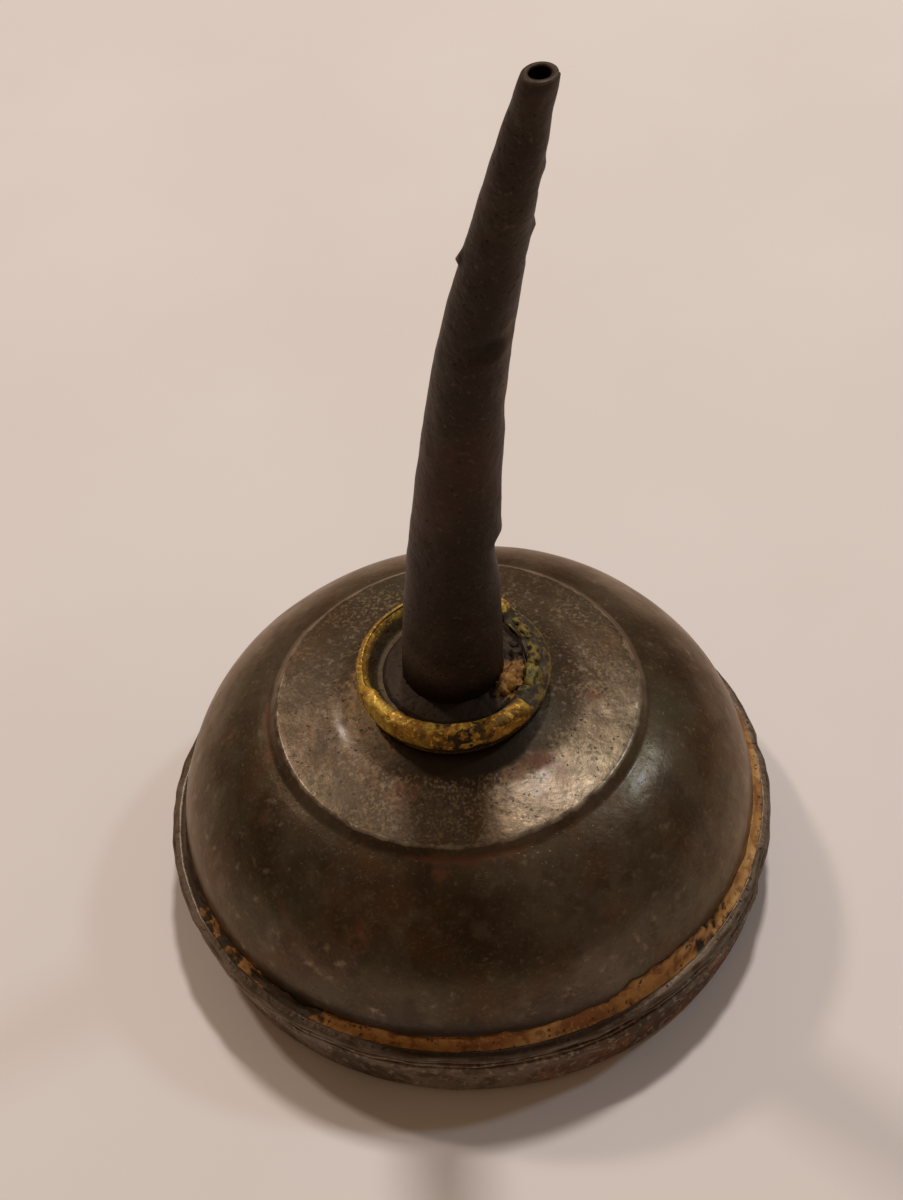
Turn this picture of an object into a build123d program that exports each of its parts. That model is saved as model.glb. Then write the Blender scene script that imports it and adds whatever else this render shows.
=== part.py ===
"""Push-bottom oil can with a bent spout.

Millimetres. +Z is up, the Z axis is the can's axis, and the origin is on the floor under its centre.
The spout leans towards +X. Each piece of sheet metal is a line of the sheet's outer side, thickened
inwards and turned about the axis.
"""

import os
from math import acos, cos, degrees, radians, sin

from build123d import *

os.makedirs("parts", exist_ok=True)

# Sheet and clearances
sheet = 0.5  # wall of the dome and the pan
spring_sheet = 0.3  # the diaphragm's thin spring steel
fold_gap = 0.1  # room between the hem's edge and the fold round it
press_gap = 0.05  # between round pieces that are soldered together
thread_gap = 0.05  # radial and axial running clearance of the screw thread
overcut = 0.5  # how far a cutting solid runs past the face that it opens

# Overall sizes
rim_radius = 32.5  # outside of the folded seam
seam_top = 8.5  # floor to the top of the folded seam
spout_top = 102.4  # floor to the middle of the spout's mouth

# Dome: a rounded wall, a step, and a slightly conical platform
flange_width = 1.4  # from the dome's wall out to its hemmed edge
wall_rise = 0.5  # straight wall above the seam before it curves in
crown_radius = 15.0  # where the dome's curve would turn level
crown_rise = 15.7  # height of the dome's curve
roundness = 2.0  # exponent of the curve: 2 is an ellipse, more is squarer
platform_radius = 18.7
platform_rise = 16.5  # platform's edge above the seam
step_width = 0.9  # from the platform's edge out to the groove
seat_rise = 18.5  # flat top that the neck stands on, above the seam
flange_bend = 0.8
groove_bend = 0.4
platform_bend = 0.55
seat_bend = 1.2

# Folded seam and bottom pan
lip_width = 1.1  # the pan's edge over the flange
hem_width = 1.3  # the flange's own edge, turned under
hem_bend = 0.3
rim_bend = 0.7
wall_inset = 0.9  # the pan's wall in from the seam's outside, at its top
wall_taper = 0.5  # and how much further in at the floor
shoulder_bend = 0.2
foot_bend = 1.5
foot_width = 3.0  # from the wall's foot in to the ledge's riser
riser_run = 1.0
riser_bend = 0.8
ledge_height = 1.4  # floor to the underside of the ledge
ledge_width = 3.2
ledge_bend = 0.5

# Sealing bead above the seam
bead_bury = 0.2  # how far its outline starts inside the dome's wall
bead_crest = 0.15
bead_rise = 0.5  # above the seam, at the dome's wall
bead_dip = 0.1  # below the seam's top, at the lip

# Spring bottom, pressed by the thumb from below
diaphragm_land = 2.6  # flat edge that lies on the ledge
dish_clear = 0.3  # from the ledge's bore in to where the dish starts
dish_end = 0.8  # from the stiffener's edge out to where the dish ends
bottom_bead = 0.5
disc_clear = 0.3  # floor to the thumb disc
disc_radius = 8.5
disc_thickness = 0.4
disc_bend = 0.25
stiffener_radius = 9.5
stiffener_thickness = 0.5
rivet_radius = 2.95
rivet_head_radius = 4.2
rivet_head_height = 0.6
rivet_bend = 0.4

# Spout
spout_base_radius = 5.15
spout_tip_radius = 1.35
spout_wall = 0.5
spout_taper = 0.85  # 1 is a straight taper, less is fuller
spout_lean = 11.2  # sideways to +X at the mouth
spout_nod = 8.1  # towards -Y at the mouth
lean_power = 1.5
nod_power = 2.0
spout_spans = 8

# Screw thread, right-hand, on a stub that the spout's end sits in
stub_wall = 1.0  # between the spout's socket and the thread's root
thread_depth = 0.6
thread_bury = 0.2  # how deep the ridge starts inside its core
pitch = 1.5
crest_width = 0.24
flank_width = 0.36  # axial width of each flank
thread_runout = 1.25 * pitch
stub_length = 7.0  # below the collar
stub_bore = 3.5
socket_depth = 2.8  # for the spout's end, below the recess

# Neck: threaded bush, leather washer and brass collar
bush_wall = 1.05  # outside the thread
bush_flange_width = 1.1
bush_flange_thickness = 0.4
bush_depth = 6.5  # below the seat
seat_margin = 0.2  # of flat seat outside the bush's flange
bush_bead_width = 0.9
bush_bead_drop = 1.2
washer_clear = 0.15  # round the thread
washer_inset = 0.3  # from the flange's edge
washer_thickness = 0.6
collar_overhang = 0.9  # past the flange's edge
collar_height = 2.9
collar_web = 1.2  # floor of the collar's recess above its underside
lip_thickness = 1.7
collar_bend = 0.9
collar_underbend = 0.6
lip_bend = 0.5
spout_bead_clear = 1.0  # from the recess's wall
spout_bead_edge = 0.4
spout_bead_rise = 0.9

# Heights and radii that follow from these
flange_top = seam_top - sheet
hem_bottom = flange_top - 2 * sheet
seam_bottom = hem_bottom - sheet
hem_radius = rim_radius - sheet - fold_gap
dome_radius = hem_radius - flange_width
lip_radius = rim_radius - lip_width
wall_radius = rim_radius - wall_inset
foot_radius = wall_radius - wall_taper
riser_radius = foot_radius - foot_width
ledge_radius = riser_radius - riser_run
ledge_bore = ledge_radius - ledge_width
ledge_top = ledge_height + sheet
diaphragm_radius = ledge_bore + diaphragm_land
disc_top = disc_clear + disc_thickness
stiffener_bottom = disc_top + spring_sheet
stiffener_top = stiffener_bottom + stiffener_thickness
socket_radius = spout_base_radius + press_gap
thread_root = socket_radius + stub_wall
thread_crest = thread_root + thread_depth
bush_shank_radius = thread_crest + thread_gap + bush_wall
bush_flange_radius = bush_shank_radius + bush_flange_width
seat_radius = bush_flange_radius + seat_margin
washer_bore = thread_crest + washer_clear
washer_radius = bush_flange_radius - washer_inset
collar_radius = bush_flange_radius + collar_overhang
recess_radius = collar_radius - lip_thickness
seat = seam_top + seat_rise
bush_top = seat + bush_flange_thickness
collar_bottom = bush_top + washer_thickness
recess_floor = collar_bottom + collar_web
collar_top = collar_bottom + collar_height
socket_floor = recess_floor - socket_depth
stub_bottom = collar_bottom - stub_length
bush_bottom = seat - bush_depth
spout_run = spout_top - recess_floor


def dome_point(angle):
    """Point of the dome's outer curve: 0 is on the wall, 90 degrees would be the level crown."""
    power = 2 / roundness
    radius = crown_radius + (dome_radius - crown_radius) * cos(radians(angle)) ** power
    return radius, seam_top + wall_rise + crown_rise * sin(radians(angle)) ** power


def spout_centre(share):
    """Centre of the spout at a share of its height above the collar's recess."""
    lean = spout_lean * share**lean_power
    nod = spout_nod * share**nod_power
    return Vector(lean, -nod, recess_floor + spout_run * share)


def spout_plane(share):
    """Plane across the spout there, square to its centre line."""
    slope_x = lean_power * spout_lean * share ** (lean_power - 1)
    slope_y = nod_power * spout_nod * share ** (nod_power - 1)
    across = (1, 0, -slope_x / spout_run)
    along = (slope_x, -slope_y, spout_run)
    return Plane(origin=spout_centre(share), x_dir=across, z_dir=along)


def spout_radius(share):
    """Outside radius of the spout there."""
    return spout_tip_radius + (spout_base_radius - spout_tip_radius) * (1 - share) ** spout_taper


def thread_ridge(gap):
    """One continuous thread, longer than the stub at both ends, grown by a clearance on every side."""
    buried = thread_root - thread_bury
    tip = crest_width / 2 + gap
    root = tip + flank_width * (thread_depth + thread_bury) / thread_depth
    with BuildPart() as ridge:
        with BuildLine() as helix:
            Helix(pitch, stub_length + 2 * thread_runout, buried, center=(0, 0, stub_bottom - thread_runout))
        start = helix.line
        with BuildSketch(Plane(start @ 0, x_dir=(1, 0, 0), z_dir=start % 0)):
            with BuildLine():
                reach = thread_crest + gap - buried
                Polyline((0, -root), (reach, -tip), (reach, tip), (0, root), close=True)
            make_face()
        sweep(path=start, is_frenet=True)
    return ridge.part


# ---- dome_shell: neck hole, seat, platform, step, rounded wall, flange and its hem ----
bush_hole = bush_shank_radius + press_gap
groove_radius = platform_radius + step_width
groove_share = (groove_radius - crown_radius) / (dome_radius - crown_radius)
groove_angle = degrees(acos(groove_share ** (roundness / 2)))
curve_angles = [groove_angle * share for share in (0, 0.2, 0.45, 0.7, 0.9)]
with BuildPart() as dome_shell:
    with BuildSketch(Plane.XZ) as dome_section:
        with BuildLine():
            FilletPolyline((hem_radius, flange_top), (dome_radius, flange_top), dome_point(0), radius=flange_bend)
            heading = Vector(0, 1)
            for low, high in zip(curve_angles, curve_angles[1:]):
                arc = TangentArc(dome_point(low), dome_point(high), tangent=heading)
                heading = arc % 1
            FilletPolyline(
                dome_point(curve_angles[-1]),
                dome_point(groove_angle),
                (platform_radius, seam_top + platform_rise),
                (seat_radius, seat),
                (bush_hole, seat),
                radius=(groove_bend, platform_bend, seat_bend),
            )
            offset(amount=sheet, side=Side.LEFT)
        make_face()
        with BuildLine():
            Polyline(
                (hem_radius - hem_width, hem_bottom),
                (hem_radius, hem_bottom),
                (hem_radius, flange_top),
                (hem_radius - hem_width, flange_top),
                close=True,
            )
        make_face()
        fillet(dome_section.vertices().group_by(Axis.X)[-1], radius=hem_bend)
    revolve(axis=Axis.Z)
dome_shell.part.label = "dome_shell"

# ---- bottom_pan: lip, fold round the hem, tapered wall, foot and inward ledge ----
with BuildPart() as bottom_pan:
    with BuildSketch(Plane.XZ):
        with BuildLine():
            FilletPolyline(
                (lip_radius, seam_top),
                (rim_radius, seam_top),
                (rim_radius, seam_bottom),
                (wall_radius, seam_bottom),
                (foot_radius, 0),
                (riser_radius, 0),
                (ledge_radius, ledge_height),
                (ledge_bore, ledge_height),
                radius=(rim_bend, rim_bend, shoulder_bend, foot_bend, riser_bend, ledge_bend),
            )
            offset(amount=sheet, side=Side.RIGHT)
        make_face()
    revolve(axis=Axis.Z)
bottom_pan.part.label = "bottom_pan"

# ---- seam_solder: sealing bead in the corner between the dome's wall and the pan's lip ----
with BuildPart() as seam_solder:
    with BuildSketch(Plane.XZ):
        with BuildLine():
            Polyline(
                (dome_radius - bead_bury, flange_top),
                (lip_radius, flange_top),
                (lip_radius, seam_top - bead_dip),
                (dome_radius + bead_crest, seam_top + bead_rise),
                (dome_radius - bead_bury, seam_top + bead_rise),
                close=True,
            )
        make_face()
        add(dome_section.sketch, mode=Mode.SUBTRACT)
    revolve(axis=Axis.Z)
seam_solder.part.label = "seam_solder"

# ---- spring_bottom: flat edge on the ledge, one shallow dish down to the thumb disc ----
rivet_hole = rivet_radius + press_gap
dish_outside = ledge_bore - dish_clear
dish_inside = stiffener_radius + dish_end
dish_middle = ((dish_outside + dish_inside) / 2, (ledge_top + disc_top) / 2)
with BuildPart() as spring_bottom:
    with BuildSketch(Plane.XZ):
        with BuildLine():
            Line((diaphragm_radius, ledge_top), (dish_outside, ledge_top))
            upper = TangentArc((dish_outside, ledge_top), dish_middle, tangent=(-1, 0))
            TangentArc(dish_middle, (dish_inside, disc_top), tangent=upper % 1)
            Line((dish_inside, disc_top), (rivet_hole, disc_top))
            offset(amount=spring_sheet, side=Side.RIGHT)
        make_face()
    revolve(axis=Axis.Z)
spring_bottom.part.label = "spring_bottom"

# ---- bottom_solder: bead that seals the diaphragm's edge to the ledge ----
with BuildPart() as bottom_solder:
    with BuildSketch(Plane.XZ):
        with BuildLine():
            Polyline(
                (diaphragm_radius, ledge_top),
                (diaphragm_radius + bottom_bead, ledge_top),
                (diaphragm_radius, ledge_top + spring_sheet),
                close=True,
            )
        make_face()
    revolve(axis=Axis.Z)
bottom_solder.part.label = "bottom_solder"

# ---- thumb_disc: plate under the diaphragm, with a rivet shank headed over inside ----
with BuildPart() as thumb_disc:
    with BuildSketch(Plane.XY.offset(disc_clear)):
        Circle(disc_radius)
    extrude(amount=disc_thickness)
    fillet(thumb_disc.edges().group_by(Axis.Z)[0], radius=disc_bend)
    with BuildSketch(Plane.XY.offset(disc_top)):
        Circle(rivet_radius)
    extrude(amount=stiffener_top - disc_top)
    with BuildSketch(Plane.XY.offset(stiffener_top)):
        Circle(rivet_head_radius)
    extrude(amount=rivet_head_height)
    fillet(thumb_disc.edges().group_by(Axis.Z)[-1], radius=rivet_bend)
thumb_disc.part.label = "thumb_disc"

# ---- stiffener_disc: plate over the middle of the diaphragm ----
with BuildPart() as stiffener_disc:
    with BuildSketch(Plane.XY.offset(stiffener_bottom)):
        Circle(stiffener_radius)
        Circle(rivet_hole, mode=Mode.SUBTRACT)
    extrude(amount=stiffener_thickness)
stiffener_disc.part.label = "stiffener_disc"

# ---- neck_bush: brass bush, its thread cut before its bore ----
with BuildPart() as neck_bush:
    with BuildSketch(Plane.XY.offset(bush_bottom)):
        Circle(bush_shank_radius)
    extrude(amount=bush_depth)
    with BuildSketch(Plane.XY.offset(seat)):
        Circle(bush_flange_radius)
    extrude(amount=bush_flange_thickness)
    add(thread_ridge(thread_gap), mode=Mode.SUBTRACT)
    with BuildSketch(Plane.XY.offset(bush_bottom - overcut)):
        Circle(thread_root + thread_gap)
    extrude(amount=bush_top - bush_bottom + 2 * overcut, mode=Mode.SUBTRACT)
neck_bush.part.label = "neck_bush"

# ---- bush_solder: fillet between the bush's shank and the dome's underside ----
with BuildPart() as bush_solder:
    with BuildSketch(Plane.XZ):
        with BuildLine():
            Polyline(
                (bush_shank_radius, seat - sheet),
                (bush_shank_radius + bush_bead_width, seat - sheet),
                (bush_shank_radius, seat - sheet - bush_bead_drop),
                close=True,
            )
        make_face()
    revolve(axis=Axis.Z)
bush_solder.part.label = "bush_solder"

# ---- leather_washer: seal between the bush and the collar ----
with BuildPart() as leather_washer:
    with BuildSketch(Plane.XY.offset(bush_top)):
        Circle(washer_radius)
        Circle(washer_bore, mode=Mode.SUBTRACT)
    extrude(amount=washer_thickness)
leather_washer.part.label = "leather_washer"

# ---- spout_ferrule: brass collar with a raised lip, a recess, a socket and a threaded stub ----
with BuildPart() as stub_thread:
    add(thread_ridge(0))
    with BuildSketch(Plane.XY.offset(stub_bottom)):
        Circle(collar_radius)
    extrude(amount=stub_length - washer_thickness, mode=Mode.INTERSECT)
with BuildPart() as spout_ferrule:
    with BuildSketch(Plane.XZ) as collar_section:
        with BuildLine():
            Polyline(
                (stub_bore, stub_bottom),
                (thread_root, stub_bottom),
                (thread_root, collar_bottom),
                (collar_radius, collar_bottom),
                (collar_radius, collar_top),
                (recess_radius, collar_top),
                (recess_radius, recess_floor),
                (socket_radius, recess_floor),
                (socket_radius, socket_floor),
                (stub_bore, socket_floor),
                close=True,
            )
        make_face()
        outer_corners = collar_section.vertices().group_by(Axis.X)[-1]
        fillet(outer_corners.sort_by(Axis.Y)[-1], radius=collar_bend)
        fillet(collar_section.vertices().group_by(Axis.Y)[-1].sort_by(Axis.X)[0], radius=lip_bend)
        fillet(collar_section.vertices().group_by(Axis.X)[-1].sort_by(Axis.Y)[0], radius=collar_underbend)
    revolve(axis=Axis.Z)
    add(stub_thread.part)
spout_ferrule.part.label = "spout_ferrule"

# ---- spout_tube: straight end in the socket, then the bent taper up to the mouth ----
with BuildPart() as spout_tube:
    with BuildSketch(Plane.XY.offset(socket_floor)):
        Circle(spout_base_radius)
    extrude(amount=socket_depth)
    for span in range(spout_spans + 1):
        with BuildSketch(spout_plane(span / spout_spans)):
            Circle(spout_radius(span / spout_spans))
    loft()
    for span in range(spout_spans + 1):
        with BuildSketch(spout_plane(span / spout_spans)):
            Circle(spout_radius(span / spout_spans) - spout_wall)
    loft(mode=Mode.SUBTRACT)
    with BuildSketch(Plane.XY.offset(socket_floor)):
        Circle(spout_base_radius - spout_wall)
    extrude(amount=socket_depth, mode=Mode.SUBTRACT)
spout_tube.part.label = "spout_tube"

# ---- spout_solder: bead round the spout on the floor of the recess ----
bead_radius = recess_radius - spout_bead_clear
with BuildPart() as spout_solder:
    with BuildSketch(Plane.XZ):
        with BuildLine():
            Polyline(
                (socket_radius, recess_floor),
                (bead_radius, recess_floor),
                (bead_radius - spout_bead_edge, recess_floor + spout_bead_edge),
                (socket_radius, recess_floor + spout_bead_rise),
                close=True,
            )
        make_face()
    revolve(axis=Axis.Z)
spout_solder.part.label = "spout_solder"

pieces = [
    dome_shell,
    bottom_pan,
    seam_solder,
    spring_bottom,
    bottom_solder,
    thumb_disc,
    stiffener_disc,
    neck_bush,
    bush_solder,
    leather_washer,
    spout_ferrule,
    spout_tube,
    spout_solder,
]
for piece in pieces:
    export_step(piece.part, f"parts/{piece.part.label}.step")
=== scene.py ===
"""Looks of a small push-bottom oil can: steel dome, folded seam, brass collar and bent spout."""

import logging
from collections.abc import Callable
from dataclasses import dataclass, field
from enum import Enum
from math import atan2, cos, degrees, exp, pi, radians, sin, tau

import bmesh
import bpy
import numpy as np
from mathutils import Matrix, Vector, noise


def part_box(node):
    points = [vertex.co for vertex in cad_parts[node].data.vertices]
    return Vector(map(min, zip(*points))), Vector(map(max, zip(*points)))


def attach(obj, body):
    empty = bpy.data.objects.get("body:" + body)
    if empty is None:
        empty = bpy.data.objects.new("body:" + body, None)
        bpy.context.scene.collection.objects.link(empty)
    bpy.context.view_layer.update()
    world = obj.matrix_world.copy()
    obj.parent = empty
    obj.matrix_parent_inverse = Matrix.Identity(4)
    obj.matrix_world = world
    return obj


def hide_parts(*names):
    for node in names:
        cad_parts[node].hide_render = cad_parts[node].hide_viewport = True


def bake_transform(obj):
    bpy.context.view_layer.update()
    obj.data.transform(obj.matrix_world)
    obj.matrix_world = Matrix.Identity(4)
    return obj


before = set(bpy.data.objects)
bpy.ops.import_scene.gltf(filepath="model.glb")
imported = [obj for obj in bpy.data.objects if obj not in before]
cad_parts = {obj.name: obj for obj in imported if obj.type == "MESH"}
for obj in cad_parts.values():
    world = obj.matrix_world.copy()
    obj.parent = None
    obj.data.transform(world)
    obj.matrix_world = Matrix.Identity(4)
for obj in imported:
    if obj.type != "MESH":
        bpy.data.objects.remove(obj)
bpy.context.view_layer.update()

log = logging.getLogger("oil_can")
MM = 0.001
HAIR = 1e-8
AXIS = {"cent": (0, 0, 0), "axis": (0, 0, 1)}
Outline = list[tuple[float, float]]
Colour = tuple[float, float, float]
Amount = Callable[[Vector], float]
Socket = bpy.types.NodeSocket
Value = Socket | float | Colour
Share = float | None
OILY_TINT: Colour = (1.0, 0.74, 0.52)
RELIEF_GAIN = 1.6


class Slot(Enum):
    """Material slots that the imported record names."""

    DOME = "dome_steel"
    PAN = "pan_steel"
    SOLDER = "old_solder"
    SPRING = "spring_steel"
    BRASS = "brass"
    LEATHER = "leather"
    SPOUT = "spout_steel"


class Body(Enum):
    """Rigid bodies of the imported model."""

    CAN = "can_body"
    BUTTON = "press_button"
    WASHER = "washer"
    SPOUT = "spout"


# ---------------------------------------------------------------------------------------------
# Shapes
# ---------------------------------------------------------------------------------------------


def rounded(points: Outline, radii: list[float], parts: int = 6) -> Outline:
    """Rounds the inner corners of an open outline.

    Args:
        points: corners as (radius, height), in metres.
        radii: one rounding radius for each inner corner; 0 leaves it sharp.
        parts: straight parts in each round.

    Returns:
        The outline with an arc at each rounded corner.
    """
    done = [points[0]]
    for before, corner, after, radius in zip(points, points[1:], points[2:], radii):
        here = Vector(corner)
        back = (Vector(before) - here).normalized()
        ahead = (Vector(after) - here).normalized()
        half = back.angle(ahead) / 2
        if radius == 0 or half < 1e-6:
            done.append(corner)
            continue
        reach = radius * cos(half) / sin(half)
        centre = here + (back + ahead).normalized() * (radius / sin(half))
        first = here + back * reach - centre
        last = here + ahead * reach - centre
        for step in range(parts + 1):
            arm = first.lerp(last, step / parts).normalized() * radius
            done.append(tuple(centre + arm))
    done.append(points[-1])
    return done


def spaced(points: Outline, gap: float) -> Outline:
    """Adds points to an outline's long straight runs.

    Args:
        points: outline as (radius, height), in metres.
        gap: longest run that is left, in metres.

    Returns:
        The outline with its added points.
    """
    done = [points[0]]
    for start, end in zip(points, points[1:]):
        parts = max(1, round((Vector(end) - Vector(start)).length / gap))
        done += [tuple(Vector(start).lerp(Vector(end), (i + 1) / parts)) for i in range(parts)]
    return done


def lathe(outline: Outline, steps: int, closed: bool = True) -> bmesh.types.BMesh:
    """Turns an outline about the can's axis.

    Args:
        outline: points as (radius, height), in metres.
        steps: flats round the axis.
        closed: whether the outline's last point joins its first.

    Returns:
        The turned mesh, its faces pointing outwards.
    """
    bm = bmesh.new()
    ring = [bm.verts.new((radius, 0, height)) for radius, height in outline]
    ends = ring[1:] + ring[:1] if closed else ring[1:]
    edges = [bm.edges.new(pair) for pair in zip(ring, ends)]
    bmesh.ops.spin(bm, geom=ring + edges, **AXIS, angle=tau, steps=steps, use_merge=True)
    bmesh.ops.remove_doubles(bm, verts=bm.verts, dist=HAIR)
    bmesh.ops.dissolve_degenerate(bm, edges=bm.edges, dist=HAIR)
    bmesh.ops.recalc_face_normals(bm, faces=bm.faces)
    return bm


def face_away(bm: bmesh.types.BMesh, sample: Vector) -> None:
    """Turns an open sheet's faces so that its outer side looks outwards.

    Args:
        bm: the sheet.
        sample: a point on the sheet's outer side.
    """
    nearest = min(bm.faces, key=lambda face: (face.calc_center_median() - sample).length)
    if nearest.normal.dot(sample - nearest.calc_center_median()) < 0:
        bmesh.ops.reverse_faces(bm, faces=bm.faces)


def ease(value: float) -> float:
    """Smooth step from 0 to 1."""
    value = min(1.0, max(0.0, value))
    return value * value * (3 - 2 * value)


def hump(angle: float, middle: float, width: float) -> float:
    """Smooth bump round the axis: 1 at the middle angle, near 0 one width away, all in degrees."""
    off = (angle - middle + 180) % 360 - 180
    return exp(-((off / width) ** 2) * 2)


def bearing(point: Vector) -> float:
    """Angle of a point round the axis, in degrees: 0 is +X and -90 is the front."""
    return degrees(atan2(point.y, point.x))


def around(angle: float, out: float = 1.0, height: float = 0.0) -> Vector:
    """Point at an angle round the axis, in degrees, at a radius and a height."""
    return Vector((out * cos(radians(angle)), out * sin(radians(angle)), height))


def off_axis(point: Vector) -> float:
    """Distance of a point from the axis."""
    return point.to_2d().length


def outwards(point: Vector) -> Vector:
    """Level direction from the axis to a point."""
    return point.to_2d().to_3d().normalized()


def wander(place: Vector, octaves: int = 3) -> float:
    """Smooth noise that swings about 0."""
    return noise.fractal(place, 0.8, 2.0, octaves)


def roughen(bm: bmesh.types.BMesh, grain: float, height: float, seed: float, octaves: int = 3) -> None:
    """Pushes every vertex along its normal by smooth noise.

    Args:
        bm: mesh to change.
        grain: size of the bumps, in metres.
        height: most that a vertex moves, in metres.
        seed: place in the noise.
        octaves: layers of finer noise.
    """
    bm.normal_update()
    shift = Vector((seed, -seed, seed * 0.7))
    moves = []
    for vertex in bm.verts:
        swell = noise.fractal(vertex.co / grain + shift, 0.9, 2.0, octaves)
        moves.append(vertex.normal * swell * height)
    for vertex, move in zip(bm.verts, moves):
        vertex.co += move


def dent(bm: bmesh.types.BMesh, centre: Vector, reach: float, push: Vector) -> None:
    """Presses a smooth hollow into a mesh.

    Args:
        bm: mesh to change.
        centre: deepest place.
        reach: distance at which the hollow ends, in metres.
        push: how the deepest place moves.
    """
    for vertex in bm.verts:
        near = 1 - (vertex.co - centre).length / reach
        if near > 0:
            vertex.co += push * ease(near)


def mark_relief(mesh: bpy.types.Mesh, rounds: int = 2) -> None:
    """Writes how far each vertex stands out of its neighbours: 0.5 is flat, 1 an edge, 0 a hollow.

    Args:
        mesh: mesh that gets the relief amount.
        rounds: how often the amount is averaged with its neighbours'.
    """
    count = len(mesh.vertices)
    places, normals = np.empty((count, 3)), np.empty((count, 3))
    mesh.vertices.foreach_get("co", places.ravel())
    mesh.vertex_normals.foreach_get("vector", normals.ravel())
    pairs = np.empty((len(mesh.edges), 2), int)
    mesh.edges.foreach_get("vertices", pairs.ravel())
    one, two = pairs.T
    links = np.bincount(one, minlength=count) + np.bincount(two, minlength=count)
    links = np.maximum(links, 1)
    along = places[two] - places[one]
    length = np.maximum(np.linalg.norm(along, axis=1), HAIR / 10)
    bend = np.bincount(one, -(along * normals[one]).sum(1) / length, minlength=count)
    bend += np.bincount(two, (along * normals[two]).sum(1) / length, minlength=count)
    bend /= links
    for _ in range(rounds):
        spread = np.bincount(one, bend[two], minlength=count)
        spread += np.bincount(two, bend[one], minlength=count)
        bend = (bend + spread / links) / 2
    layer = mesh.attributes.new("relief", "FLOAT", "POINT")
    layer.data.foreach_set("value", np.clip(0.5 + bend * RELIEF_GAIN, 0, 1).astype(np.float32))


def paint(piece: bpy.types.Object, **amounts: Amount) -> None:
    """Writes named amounts onto a piece's mesh.

    Args:
        piece: the piece.
        amounts: function of a vertex's place for each name.
    """
    for name, amount in amounts.items():
        layer = piece.data.attributes.new(name, "FLOAT", "POINT")
        layer.data.foreach_set("value", [float(amount(vertex.co)) for vertex in piece.data.vertices])


def as_object(bm: bmesh.types.BMesh, name: str) -> bpy.types.Object:
    """Turns a bmesh into a smooth-shaded object at the origin.

    Args:
        bm: the finished shape, which is freed.
        name: the piece's name.

    Returns:
        The new object.
    """
    mesh = bpy.data.meshes.new(name)
    bm.to_mesh(mesh)
    bm.free()
    mesh.shade_smooth()
    mark_relief(mesh)
    piece = bpy.data.objects.new(name, mesh)
    bpy.context.scene.collection.objects.link(piece)
    return piece


def put_on(piece: bpy.types.Object, body: Body, look: bpy.types.Material, node: str) -> None:
    """Puts a finished piece on its body, in place of its CAD node, and dresses it.

    Args:
        piece: finished object.
        body: body that it rides on.
        look: its material.
        node: CAD node that it stands for.
    """
    piece.data.materials.append(look)
    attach(piece, body.value)
    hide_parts(node)
    log.info("%s: %d faces, rides on %s", piece.name, len(piece.data.polygons), body.value)


def dress_node(name: str, look: bpy.types.Material) -> None:
    """Gives a CAD node that stays in view its material.

    Args:
        name: the node's name.
        look: its material.
    """
    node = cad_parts[name]
    node.data.materials.clear()
    node.data.materials.append(look)
    log.info("%s: CAD node kept, finish %s", name, look.name)


# ---------------------------------------------------------------------------------------------
# Node trees
# ---------------------------------------------------------------------------------------------


Fill = Callable[["Wiring", bpy.types.Node], list[Socket]]


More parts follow.
